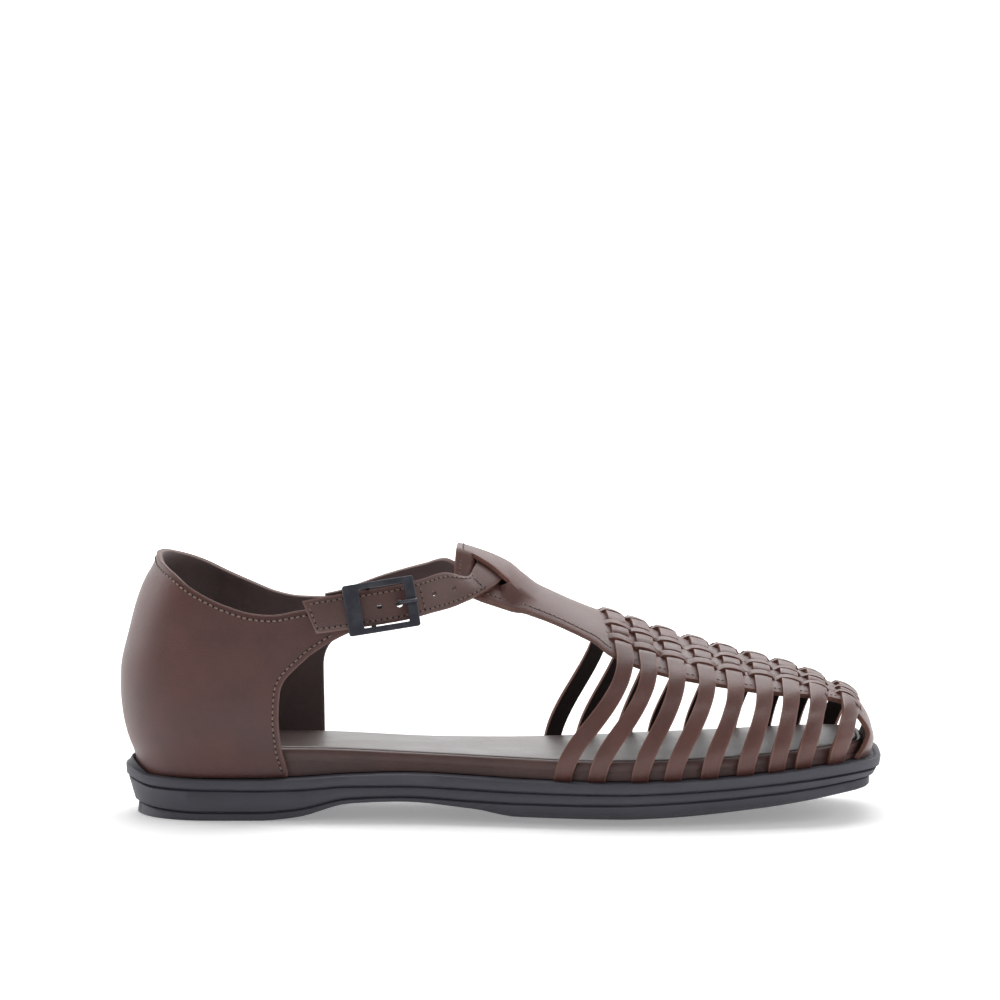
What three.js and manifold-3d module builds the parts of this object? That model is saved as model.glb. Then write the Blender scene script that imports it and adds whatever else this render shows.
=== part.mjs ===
// A woven leather huarache sandal for the right foot, in millimetres: +X towards the toe, +Y to the
// medial side, +Z up, standing on the floor at z = 0 with its box centred over the origin.
// The heel counter, the woven vamp with its T-bar and the ankle strap are leather, the sole is rubber.
import * as THREE from "three";
import { mergeVertices } from "three/addons/utils/BufferGeometryUtils.js";
import Module from "manifold-3d";

// Driving dimensions of the whole shoe.
const LENGTH = 258; // outsole, heel edge to toe edge
const BALL_WIDTH = 94; // outsole across the ball
const HEEL_WIDTH = 62; // outsole across the heel
const SOLE_THICKNESS = 15; // rubber at the ball
const INSOLE_HEIGHT = 25; // top of the insole at the heel, from the floor
const INSTEP_HEIGHT = 90; // top of the T-bar, from the floor
const COLLAR_HEIGHT = 89; // top of the heel counter, from the floor
const FIT = 0.3; // gap between pieces that touch

// Sole.
const HEEL_ROUND = 31; // length of the round heel end
const TOE_SQUARE = 52; // length of the squared toe end
const HEEL_POWER = 2.1; // how square the heel end is, 2 being an ellipse
const TOE_POWER = 4.5; // how square the toe end is
const TOE_SKEW = 2.4; // how much further forward the toe edge's medial half is
const RIM_WIDTH = 2.4; // bevelled rim round the top of the rubber
const RIM_FOOT = 0.4; // plan width of the step from the rim down to the seat
const GROOVE_DEPTH = 0.9;
const GROOVE_HEIGHT = 1.1;
const BAND_STEP = 0.5; // how far each band of the side stands back from the band above it
const SIDE_TAPER = 1.6; // how far the foot of the side stands in along the sides
const END_TAPER = 4.6; // and at the heel and toe ends
const UNDER_BEVEL = 18; // width of the rounded under-edge

// Insole.
const BOARD_INSET = 6.1; // from the rubber's edge to the board's edge
const BOARD_EDGE = 1.2; // rounding of the board's upper edge
const SOCK_INSET = 2.2; // from the board's edge to the sock's edge
const SOCK_THICKNESS = 1.2;

// Leather.
const VAMP_THICKNESS = 1.6;
const STRIP_THICKNESS = 1.6;
const STRIP_WIDTH = 5.7;
const LAST_INSET = 3.6; // from the rubber's edge to the inner face of the upper
const TUCK = 2; // how far the upper draws in again just above the rubber
const TUCK_HEIGHT = 9;
const COUNTER_WALL = 2.2;
const RIDGE_SHARE = 0.1; // the instep ridge's place, as a share of the medial half width
const JOIN = 0.2; // how deep neighbouring strips run into each other where they are one wall
const LOWER = 0.3; // how much lower a strip lies than the bands that run over it
const STRIP_FOOT = 0.8; // height of the strips' lower ends above the seat

// Ankle strap and buckle.
const STRAP_WIDTH = 11.6;
const STRAP_THICKNESS = 1.8;
const STRAP_CLEAR = 0.5; // between the strap and the T-bar's leather under it
const STRAP_HEADROOM = 0.95; // between the strap and the leather lifted over it
const STRAP_GAP = 0.4; // between the strap and the counter
const HEAD_DIP = 1.2; // how far the slit T-bar's flaps are pressed down
const STRAP_HOLE = 1.8; // diameter of the punched holes
const HOLE_PITCH = 7;
const HOLE_COUNT = 3;
const BUCKLE_LENGTH = 24;
const BUCKLE_HEIGHT = 17;
const BUCKLE_BAR = 3.4; // front bar, where the prong rests
const BUCKLE_PLATE = 5.2; // rear bar
const BUCKLE_RAIL = 2; // upper and lower bars
const BUCKLE_DEPTH = 2;
const BUCKLE_CLEAR = 0.7; // between the strap and the bars over it, where the strap bows
const HINGE_CLEAR = 0.75; // between the strap and the hinge bar under it
const HINGE_RADIUS = 1.1;
const HINGE_PLACE = -3; // along the buckle from its middle
const PRONG_WIDTH = 2;
const PRONG_THICKNESS = 1.4;
const PRONG_HOLE_PLACE = 6.3;
const PRONG_HOLE = 4.8;

// Sole's plan: half widths as shares of the ball width, against the share of the length from the heel.
const PLAN = [
  { at: 0.1, lateral: 0.33, medial: 0.33 },
  { at: 0.25, lateral: 0.332, medial: 0.322 },
  { at: 0.38, lateral: 0.345, medial: 0.3 },
  { at: 0.5, lateral: 0.41, medial: 0.335 },
  { at: 0.62, lateral: 0.485, medial: 0.435 },
  { at: 0.71, lateral: 0.5, medial: 0.49 },
  { at: 0.8, lateral: 0.475, medial: 0.5 },
  { at: 0.9, lateral: 0.415, medial: 0.455 },
  { at: 1, lateral: 0.345, medial: 0.385 },
];

// Sole's side: heights as shares of the sole's thickness. edge is the rim, seat the ledge that carries
// the upper, side the foot of the side wall and tread the underside.
const SIDE = [
  { at: 0, edge: 1.14, seat: 0.95, side: 0, tread: 0 },
  { at: 0.04, edge: 0.98, seat: 0.95, side: 0, tread: 0 },
  { at: 0.18, edge: 0.95, seat: 0.95, side: 0, tread: 0 },
  { at: 0.23, edge: 0.98, seat: 0.98, side: 0.08, tread: 0.06 },
  { at: 0.3, edge: 1.06, seat: 1.06, side: 0.4, tread: 0.36 },
  { at: 0.37, edge: 1.1, seat: 1.1, side: 0.45, tread: 0.4 },
  { at: 0.46, edge: 1.06, seat: 1.06, side: 0.34, tread: 0.2 },
  { at: 0.52, edge: 1.02, seat: 1.02, side: 0.28, tread: 0 },
  { at: 0.65, edge: 1, seat: 1, side: 0.31, tread: 0 },
  { at: 0.71, edge: 1.04, seat: 1.04, side: 0.36, tread: 0.04 },
  { at: 0.82, edge: 1.15, seat: 1.15, side: 0.49, tread: 0.2 },
  { at: 0.91, edge: 1.29, seat: 1.29, side: 0.61, tread: 0.4 },
  { at: 1, edge: 1.38, seat: 1.38, side: 0.73, tread: 0.6 },
];

// Grooves along the side: their places as shares of the side's height below the rim.
const GROOVES = [
  { at: 0, upper: 0.24, lower: 0.78 },
  { at: 0.2, upper: 0.26, lower: 0.78 },
  { at: 0.36, upper: 0.42, lower: 0.8 },
  { at: 0.55, upper: 0.35, lower: 0.7 },
  { at: 1, upper: 0.38, lower: 0.7 },
];

// Top of the insole, as shares of its height at the heel.
const FOOTBED = [
  { at: 0, top: 1 },
  { at: 0.25, top: 0.985 },
  { at: 0.42, top: 0.92 },
  { at: 0.62, top: 0.88 },
  { at: 0.8, top: 0.93 },
  { at: 0.9, top: 1.01 },
  { at: 1, top: 1.08 },
];

// The last under the vamp: the height of its ridge as a share of the instep height, and how square its
// sections are.
const RIDGE = [
  { at: 0.43, top: 0.976, power: 1.7 },
  { at: 0.457, top: 0.952, power: 1.7 },
  { at: 0.477, top: 0.932, power: 1.7 },
  { at: 0.504, top: 0.898, power: 1.7 },
  { at: 0.552, top: 0.832, power: 1.7 },
  { at: 0.602, top: 0.768, power: 1.7 },
  { at: 0.662, top: 0.706, power: 1.7 },
  { at: 0.74, top: 0.634, power: 1.75 },
  { at: 0.81, top: 0.578, power: 1.8 },
  { at: 0.876, top: 0.528, power: 1.9 },
  { at: 0.934, top: 0.464, power: 2 },
  { at: 0.955, top: 0.436, power: 2 },
  { at: 0.967, top: 0.405, power: 2 },
  { at: 0.979, top: 0.352, power: 2 },
  { at: 0.986, top: 0.295, power: 2 },
];
const LAST_WALL = 7.5; // height of the last's upright side above the seat
const LAST_WALL_SHARE = 0.6; // and its limit at the low toe, as a share of the last's height

// The vamp leather's two edges in plan, as shares of the ball width from the middle line.
const VAMP_EDGES = [
  { at: 0.436, lateral: -0.135, medial: 0.14 },
  { at: 0.48, lateral: -0.155, medial: 0.14 },
  { at: 0.552, lateral: -0.163, medial: 0.128 },
  { at: 0.616, lateral: -0.196, medial: 0.152 },
  { at: 0.64, lateral: -0.236, medial: 0.182 },
  { at: 0.68, lateral: -0.266, medial: 0.205 },
  { at: 0.725, lateral: -0.281, medial: 0.223 },
  { at: 0.79, lateral: -0.275, medial: 0.223 },
  { at: 0.853, lateral: -0.262, medial: 0.218 },
  { at: 0.903, lateral: -0.223, medial: 0.195 },
  { at: 0.945, lateral: -0.17, medial: 0.165 },
  { at: 0.967, lateral: -0.2, medial: 0.19 },
  { at: 1, lateral: -0.25, medial: 0.24 },
];

// Widths of the nine bands between the vamp's slits, lateral to medial, in parts of the whole.
const BANDS = [7.5, 3, 6.5, 3, 10, 3, 6.5, 3, 7.5];
const MIDDLE_BAND = 4;

// The cross strips: where each meets the sole and where it crosses the vamp on the lateral side, and how
// much further back or forward it does so on the medial side, all as shares of the length.
const STRIPS = [
  { base: 0.578, top: 0.657, farBase: -0.012, farTop: -0.024 },
  { base: 0.621, top: 0.688, farBase: -0.012, farTop: -0.021 },
  { base: 0.676, top: 0.724, farBase: -0.012, farTop: -0.018 },
  { base: 0.718, top: 0.763, farBase: -0.011, farTop: -0.015 },
  { base: 0.765, top: 0.8, farBase: -0.009, farTop: -0.012 },
  { base: 0.811, top: 0.838, farBase: -0.005, farTop: -0.006 },
  { base: 0.852, top: 0.873, farBase: 0, farTop: -0.001 },
  { base: 0.888, top: 0.909, farBase: 0, farTop: 0 },
  { base: 0.933, top: 0.952, farBase: 0, farTop: 0 },
];
const SLANT_START = 0.55; // where the T-bar's leather starts to run aslant towards the first strip

// The T-bar's head: the two slits that the strap runs through, as shares of the ball width from the
// middle line, and the lift of the leather between them, as a share of the room that the strap needs.
const HEAD = [
  { at: 0.436, lateral: -0.02, medial: 0.045, lift: -0.36 },
  { at: 0.446, lateral: -0.022, medial: 0.05, lift: -0.3 },
  { at: 0.455, lateral: -0.026, medial: 0.058, lift: 1 },
  { at: 0.48, lateral: -0.055, medial: 0.085, lift: 1 },
  { at: 0.509, lateral: -0.1, medial: 0.112, lift: 1 },
  { at: 0.524, lateral: -0.1, medial: 0.112, lift: 0 },
  { at: 0.625, lateral: -0.1, medial: 0.1, lift: 0 },
];
const HEAD_SLIT_END = 0.511; // where the flaps beside the slits come up again, share of the length
const HEAD_JOINED = 0.53; // where the leather is whole again

// The heel counter: back edge as a share of the length behind the rubber's heel edge, and half width as
// a share of the heel width, against height as a share of the collar height.
const COUNTER = [
  { at: 0.15, back: -0.013, half: 0.452 },
  { at: 0.21, back: -0.0125, half: 0.462 },
  { at: 0.3, back: -0.002, half: 0.498 },
  { at: 0.39, back: 0.0045, half: 0.522 },
  { at: 0.47, back: 0.0066, half: 0.53 },
  { at: 0.55, back: 0.006, half: 0.528 },
  { at: 0.7, back: -0.0048, half: 0.518 },
  { at: 0.815, back: -0.0155, half: 0.504 },
  { at: 0.89, back: -0.0256, half: 0.482 },
  { at: 1, back: -0.0434, half: 0.44 },
];

// Collar line: height as a share of the collar height, against the share of the length.
const COLLAR_LATERAL = [
  { at: 0.041, top: 1 },
  { at: 0.052, top: 0.975 },
  { at: 0.072, top: 0.938 },
  { at: 0.09, top: 0.897 },
  { at: 0.108, top: 0.865 },
  { at: 0.142, top: 0.819 },
  { at: 0.176, top: 0.79 },
  { at: 0.2, top: 0.784 },
  { at: 0.237, top: 0.801 },
  { at: 0.33, top: 0.84 },
];
const COLLAR_MEDIAL = [
  { at: 0.041, top: 1 },
  { at: 0.066, top: 0.979 },
  { at: 0.095, top: 0.946 },
  { at: 0.128, top: 0.898 },
  { at: 0.162, top: 0.853 },
  { at: 0.196, top: 0.813 },
  { at: 0.225, top: 0.797 },
  { at: 0.26, top: 0.794 },
  { at: 0.33, top: 0.835 },
];

// Front edges of the counter: place as a share of the length, against height as a share of the collar's.
const FRONT_LATERAL = [
  { at: 0.16, x: 0.221 },
  { at: 0.28, x: 0.212 },
  { at: 0.39, x: 0.209 },
  { at: 0.49, x: 0.211 },
  { at: 0.53, x: 0.2155 },
  { at: 0.565, x: 0.225 },
  { at: 0.6, x: 0.238 },
  { at: 0.635, x: 0.251 },
  { at: 0.66, x: 0.264 },
  { at: 0.69, x: 0.281 },
  { at: 0.725, x: 0.306 },
  { at: 0.75, x: 0.319 },
  { at: 0.86, x: 0.32 },
];
const FRONT_MEDIAL = [
  { at: 0.16, x: 0.259 },
  { at: 0.35, x: 0.258 },
  { at: 0.53, x: 0.257 },
  { at: 0.585, x: 0.261 },
  { at: 0.63, x: 0.273 },
  { at: 0.68, x: 0.29 },
  { at: 0.72, x: 0.304 },
  { at: 0.86, x: 0.308 },
];

// The strap's rows on and beyond the counter, from the slanted tail end on the lateral side: place as a
// share of the length, height as a share of the collar height, lean in degrees, and how far it is drawn
// in from the counter's side, as a share of the heel width.
const STRAP_LATERAL = [
  { at: 0.25, rise: 0.778, lean: 24, draw: 0 },
  { at: 0.27, rise: 0.787, lean: 14, draw: 0 },
  { at: 0.295, rise: 0.798, lean: 10, draw: 0 },
  { at: 0.321, rise: 0.809, lean: 10, draw: 0 },
  { at: 0.347, rise: 0.82, lean: 11, draw: 0.008 },
  { at: 0.372, rise: 0.832, lean: 12, draw: 0.03 },
  { at: 0.4, rise: 0.85, lean: 14, draw: 0.09 },
  { at: 0.43, rise: 0.869, lean: 20, draw: 0.18 },
];
// Over the T-bar's head: places in plan, in shares of the length and of the ball width, and the strap's
// width direction in plan.
const STRAP_HEAD = [
  { at: 0.462, across: -0.125, forward: 0.42, aside: -0.32 },
  { at: 0.474, across: -0.085, forward: 0.6, aside: -0.36 },
  { at: 0.481, across: -0.04, forward: 0.76, aside: -0.26 },
  { at: 0.482, across: 0.01, forward: 0.84, aside: -0.1 },
  { at: 0.478, across: 0.055, forward: 0.8, aside: 0.15 },
  { at: 0.47, across: 0.095, forward: 0.62, aside: 0.32 },
  { at: 0.458, across: 0.128, forward: 0.45, aside: 0.36 },
];
const STRAP_MEDIAL = [
  { at: 0.43, rise: 0.893, lean: 20, draw: 0.22 },
  { at: 0.4, rise: 0.868, lean: 14, draw: 0.14 },
  { at: 0.37, rise: 0.841, lean: 12, draw: 0.07 },
  { at: 0.34, rise: 0.812, lean: 12, draw: 0.025 },
  { at: 0.312, rise: 0.781, lean: 13, draw: 0 },
  { at: 0.285, rise: 0.753, lean: 11, draw: 0 },
  { at: 0.262, rise: 0.738, lean: 8, draw: 0 },
];
const BUCKLE_AT = 0.342; // buckle's middle, as a share of the length

const wasm = await Module();
wasm.setup();

// A smooth curve through a table's rows, with no overshoot, that stays level beyond both ends.
function track(rows, value) {
  const x = rows.map((row) => row.at);
  const y = rows.map((row) => row[value]);
  const step = x.slice(1).map((next, i) => (y[i + 1] - y[i]) / (next - x[i]));
  const slope = x.map((_, i) => {
    if (i === 0 || i === x.length - 1) return 0;
    const [before, after] = [step[i - 1], step[i]];
    return before * after <= 0 ? 0 : (2 * before * after) / (before + after);
  });
  return (at) => {
    if (at <= x[0]) return y[0];
    if (at >= x.at(-1)) return y.at(-1);
    const i = x.findIndex((next) => next > at) - 1;
    const span = x[i + 1] - x[i];
    const s = (at - x[i]) / span;
    const rise = s * s * (3 - 2 * s);
    const bend = s * (1 - s) * span * (slope[i] * (1 - s) - slope[i + 1] * s);
    return y[i] + (y[i + 1] - y[i]) * rise + bend;
  };
}

const share = (x) => x / LENGTH + 0.5;
const place = (at) => (at - 0.5) * LENGTH;
const clamp = (v, low = 0, high = 1) => Math.min(high, Math.max(low, v));
const mix = (a, b, s) => a + (b - a) * s;
const radians = (degrees) => (degrees * Math.PI) / 180;
const rounded = (v, power) => Math.pow(Math.max(0, 1 - Math.pow(v, power)), 1 / power);

const planHalf = { lateral: track(PLAN, "lateral"), medial: track(PLAN, "medial") };
const sole = Object.fromEntries(
  ["edge", "seat", "side", "tread"].map((name) => {
    const of = track(SIDE, name);
    return [name, (at) => of(at) * SOLE_THICKNESS];
  }),
);
const grooveAt = { upper: track(GROOVES, "upper"), lower: track(GROOVES, "lower") };
const footbed = track(FOOTBED, "top");
const ridgeTop = track(RIDGE, "top");
const ridgePower = track(RIDGE, "power");

// Half width of the plan on one side at x, drawn in all round by inset.
function half(x, side, inset) {
  const width = planHalf[side](share(x)) * BALL_WIDTH - inset;
  const back = -LENGTH / 2 + HEEL_ROUND;
  const front = LENGTH / 2 - TOE_SQUARE;
  if (x < back) return width * rounded(clamp((back - x) / (HEEL_ROUND - inset)), HEEL_POWER);
  if (x > front) return width * rounded(clamp((x - front) / (TOE_SQUARE - inset)), TOE_POWER);
  return width;
}

// The toe's skew, which carries every piece of the forefoot alike.
function skew(p) {
  const into = clamp((share(p.x) - 0.8) / 0.2);
  p.x += (TOE_SKEW * into * into * p.y) / (BALL_WIDTH / 2);
  return p;
}

// Stations round the plan, heel to toe: shares of the end's own length there, close at both ends.
const END_STEPS = 8;
const MIDDLE_STEPS = 15;
function stations(inset) {
  const back = -LENGTH / 2 + HEEL_ROUND;
  const front = LENGTH / 2 - TOE_SQUARE;
  const xs = [];
  for (let i = 0; i < END_STEPS; i++) {
    const turn = Math.cos(((i / END_STEPS) * Math.PI) / 2);
    xs.push(back - (HEEL_ROUND - inset) * Math.pow(turn, 2 / HEEL_POWER));
  }
  for (let i = 0; i <= MIDDLE_STEPS; i++) xs.push(mix(back, front, i / MIDDLE_STEPS));
  for (let i = 1; i <= END_STEPS; i++) {
    const turn = Math.sin(((i / END_STEPS) * Math.PI) / 2);
    xs.push(front + (TOE_SQUARE - inset) * Math.pow(turn, 2 / TOE_POWER));
  }
  return xs;
}

// One closed ring of the plan at an inset: down the lateral side to the toe and back up the medial one.
function ring(inset, height) {
  const xs = stations(inset);
  const at = (x, side, sign) => {
    const p = skew(new THREE.Vector3(x, sign * half(x, side, inset), 0));
    p.z = height(clamp(share(x)), share(x));
    return p;
  };
  const lateral = xs.map((x) => at(x, "lateral", -1));
  const medial = xs.slice(1, -1).map((x) => at(x, "medial", 1));
  return [...lateral, ...medial.reverse()];
}

// A closed solid from rings of equal length, stacked from the top down, with a ladder of faces as each
// cap.
function stack(rings) {
  const n = rings[0].length;
  const middle = n / 2;
  const points = rings.flat();
  const faces = [];
  for (let r = 0; r + 1 < rings.length; r++)
    for (let i = 0; i < n; i++) {
      const j = (i + 1) % n;
      const [a, b, c, d] = [r * n + i, r * n + j, (r + 1) * n + j, (r + 1) * n + i];
      faces.push([a, d, c], [a, c, b]);
    }
  for (const [base, up] of [
    [0, true],
    [(rings.length - 1) * n, false],
  ]) {
    const cap = (p, q, s) => faces.push(up ? [p, q, s] : [p, s, q]);
    for (let i = 0; i < middle; i++) {
      const [a, b] = [base + i, base + i + 1];
      const [c, d] = [base + ((n - i - 1) % n), base + ((n - i) % n)];
      if (i === 0) {
        cap(a, b, c);
        continue;
      }
      cap(a, b, d);
      if (i + 1 < middle) cap(b, c, d);
    }
  }
  return geometry(points, faces);
}

// A BufferGeometry from points and index triples.
function geometry(points, faces) {
  const made = new THREE.BufferGeometry();
  const position = points.flatMap((p) => [p.x, p.y, p.z]);
  made.setAttribute("position", new THREE.Float32BufferAttribute(position, 3));
  made.setIndex(faces.flat());
  return made;
}

// A geometry as a solid, turned so that its faces point outwards.
function solid(shape) {
  const bare = new THREE.BufferGeometry();
  bare.setAttribute("position", shape.getAttribute("position"));
  if (shape.index) bare.setIndex(shape.index);
  const merged = mergeVertices(bare, 1e-4);
  const corner = merged.getAttribute("position");
  const at = (i) => new THREE.Vector3().fromBufferAttribute(corner, i);
  const index = [];
  let volume = 0;
  for (let i = 0; i < merged.index.count; i += 3) {
    const [a, b, c] = [0, 1, 2].map((k) => merged.index.getX(i + k));
    if (a === b || b === c || c === a) continue;
    index.push(a, b, c);
    volume += at(a).dot(at(b).cross(at(c)));
  }
  if (volume < 0) index.reverse();
  return new wasm.Manifold(
    new wasm.Mesh({
      numProp: 3,
      vertProperties: new Float32Array(corner.array),
      triVerts: new Uint32Array(index),
    }),
  );
}

// A curved slab: a grid of points on a surface, thickened along its normals from inner(i, j) to
// outer(i, j).
function slab(rows, columns, point, inner, outer) {
  const grid = [];
  for (let i = 0; i < rows; i++) {
    grid.push([]);
    for (let j = 0; j < columns; j++) grid[i].push(point(i, j));
  }
  const normal = (i, j) => {
    const along = grid[Math.min(i + 1, rows - 1)][j].clone().sub(grid[Math.max(i - 1, 0)][j]);
    const across = grid[i][Math.min(j + 1, columns - 1)].clone().sub(grid[i][Math.max(j - 1, 0)]);
    return along.cross(across).normalize();
  };
  const points = [];
  for (const offset of [inner, outer])
    for (let i = 0; i < rows; i++)
      for (let j = 0; j < columns; j++)
        points.push(grid[i][j].clone().addScaledVector(normal(i, j), offset(i, j)));
  const low = (i, j) => i * columns + j;
  const high = (i, j) => rows * columns + low(i, j);
  const faces = [];
  const quad = (a, b, c, d) => faces.push([a, b, c], [a, c, d]);
  for (let i = 0; i + 1 < rows; i++)
    for (let j = 0; j + 1 < columns; j++) {
      quad(high(i, j), high(i + 1, j), high(i + 1, j + 1), high(i, j + 1));
      quad(low(i, j), low(i, j + 1), low(i + 1, j + 1), low(i + 1, j));
    }
  for (let i = 0; i + 1 < rows; i++) {
    const last = columns - 1;
    quad(low(i, 0), low(i + 1, 0), high(i + 1, 0), high(i, 0));
    quad(low(i + 1, last), low(i, last), high(i, last), high(i + 1, last));
  }
  for (let j = 0; j + 1 < columns; j++) {
    const last = rows - 1;
    quad(low(0, j + 1), low(0, j), high(0, j), high(0, j + 1));
    quad(low(last, j), low(last, j + 1), high(last, j + 1), high(last, j));
  }
  return solid(geometry(points, faces));
}

// The outsole: rings from the seat over the rim and down the banded side to the tread.
function outsole() {
  const taper = (at) => {
    const end = Math.max(1 - at / 0.1, (at - 0.86) / 0.14, 0);
    return SIDE_TAPER + (END_TAPER - SIDE_TAPER) * clamp(end);
  };
  const level = (at, down) => mix(sole.edge(at), sole.side(at), down);
  const rings = [
    ring(RIM_WIDTH + RIM_FOOT, sole.seat),
    ring(RIM_WIDTH, (at) => sole.edge(at) + Math.max(0, sole.edge(at) - sole.seat(at))),
    ring(0, sole.edge),
  ];
  // One row for each line down the side: which groove, the place above or below it, and the depth.
  const lines = [
    { groove: "upper", shift: -0.5, depth: 0, step: 0 },
    { groove: "upper", shift: -0.15, depth: 1, step: 0 },
    { groove: "upper", shift: 0.5, depth: 0, step: 1 },
    { groove: "lower", shift: -0.5, depth: 0, step: 1 },
    { groove: "lower", shift: -0.15, depth: 1, step: 1 },
    { groove: "lower", shift: 0.5, depth: 0, step: 2 },
  ];
  const side = (down, depth, step) => {
    const xs = stations(0);
    const at = (x, name, sign) => {
      const u = clamp(share(x));
      const fall = clamp(down(u), 0, 0.98);
      const inset = taper(u) * fall * fall + depth * GROOVE_DEPTH + step * BAND_STEP;
      const ends = Math.max((0.12 - u) / 0.12, (u - 0.8) / 0.2, 0);
      const p = new THREE.Vector3(x - Math.sign(x) * inset * Math.min(1, ends * 1.6), 0, 0);
      const width = half(x, name, 0);
      p.y = sign * Math.max(0, width > inset * 2 ? width - inset : width - inset / 2);
      skew(p);
      p.z = level(u, fall);
      return p;
    };
    const lateral = xs.map((x) => at(x, "lateral", -1));
    const medial = xs.slice(1, -1).map((x) => at(x, "medial", 1));
    lateral[0].y = 0;
    lateral[lateral.length - 1].y = 0;
    return [...lateral, ...medial.reverse()];
  };
  for (const line of lines) {
    const down = (u) => {
      const height = sole.edge(u) - sole.side(u);
      return grooveAt[line.groove](u) + (line.shift * GROOVE_HEIGHT) / height;
    };
    rings.push(side(down, line.depth, line.step));
  }
  rings.push(ring(SIDE_TAPER + END_TAPER / 2, sole.side));
  rings.push(ring(SIDE_TAPER + END_TAPER / 2 + UNDER_BEVEL, sole.tread));
  return solid(stack(rings));
}

// The insole board, with a rounded upper edge.
function insoleBoard() {
  const top = (at) => footbed(at) * INSOLE_HEIGHT - SOCK_THICKNESS - FIT;
  return solid(
    stack([
      ring(BOARD_INSET + BOARD_EDGE, top),
      ring(BOARD_INSET + BOARD_EDGE / 4, (at) => top(at) - BOARD_EDGE / 4),
      ring(BOARD_INSET, (at) => top(at) - BOARD_EDGE),
      ring(BOARD_INSET, (at) => sole.seat(at) + FIT),
    ]),
  );
}

// The thin sock that covers the board.
function insoleSock() {
  const top = (at) => footbed(at) * INSOLE_HEIGHT;
  const inset = BOARD_INSET + SOCK_INSET;
  return solid(
    stack([
      ring(inset + SOCK_THICKNESS / 2, top),
      ring(inset, (at) => top(at) - SOCK_THICKNESS / 2),
      ring(inset, (at) => top(at) - SOCK_THICKNESS),
    ]),
  );
}

// One section of the last at x: its ridge, its two half widths, its foot and its height.
function section(x, tuck = 0) {
  const at = share(x);
  const inset = LAST_INSET + tuck;
  const ridge = RIDGE_SHARE * half(x, "medial", LAST_INSET);
  const foot = sole.seat(clamp(at)) + FIT;
  const height = Math.max(1, ridgeTop(at) * INSTEP_HEIGHT - foot);
  return {
    ridge,
    foot,
    height,
    wall: Math.min(LAST_WALL, height * LAST_WALL_SHARE),
    power: ridgePower(at),
    lateral: half(x, "lateral", inset) + ridge,
    medial: half(x, "medial", inset) - ridge,
  };
}

const tuckAt = (rise) => TUCK * Math.pow(clamp(1 - rise / TUCK_HEIGHT), 2);

// The last's surface over a point of the plan.
function over(x, y) {
  const s = section(x);
  const width = y < s.ridge ? s.lateral : s.medial;
  const out = clamp(Math.abs(y - s.ridge) / Math.max(width, 0.01));
  const z = s.foot + s.wall + (s.height - s.wall) * rounded(out, s.power);
  return new THREE.Vector3(x, y, z);
}

// Whether a point is inside the last.
function inside(x, y, z) {
  const foot = sole.seat(clamp(share(x))) + FIT;
  const s = section(x, tuckAt(z - foot));
  const width = y < s.ridge ? s.lateral : s.medial;
  if (x > LENGTH / 2 - LAST_INSET - tuckAt(z - foot) || width <= 0.01) return false;
  const out = Math.abs(y - s.ridge) / width;
  const up = Math.max(0, (z - s.foot - s.wall) / (s.height - s.wall));
  return Math.pow(out, s.power) + Math.pow(up, s.power) < 1;
}

// The foremost place of the last's surface at a given y and z.
function foremost(y, z) {
  let low = LENGTH / 4;
  let high = LENGTH / 2;
  for (let i = 0; i < 40; i++) {
    const middle = (low + high) / 2;
    if (inside(middle, y, z)) low = middle;
    else high = middle;
  }
  return low;
}

// A point down the side of the last at x: rise is its height above the seat.
function flank(x, side, rise) {
  const s = section(x, tuckAt(rise));
  const up = clamp((rise - s.wall) / (s.height - s.wall));
  const out = rounded(up, s.power) * s[side];
  return new THREE.Vector3(x, side === "lateral" ? s.ridge - out : s.ridge + out, s.foot + rise);
}

const edgeOf = { lateral: track(VAMP_EDGES, "lateral"), medial: track(VAMP_EDGES, "medial") };
const bandTotal = BANDS.reduce((a, b) => a + b, 0);
const bandLines = BANDS.reduce((lines, width) => [...lines, lines.at(-1) + width / bandTotal], [0]);
const bandLine = (at, line) =>
  mix(edgeOf.lateral(at), edgeOf.medial(at), bandLines[line]) * BALL_WIDTH;

// How far back or forward a place on top of the vamp is at a line of the leather, because the strips
// run aslant across it.
const slants = STRIPS.map((row) => ({ at: row.top, by: row.farTop }));
const slantTop = track([{ at: SLANT_START, by: 0 }, ...slants], "by");
const aslant = (at, line) => at + slantTop(at) * line;

// Whether the bands run over the strips there: every second one does.
const bandIsOver = (band) => band % 2 === 1;

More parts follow.
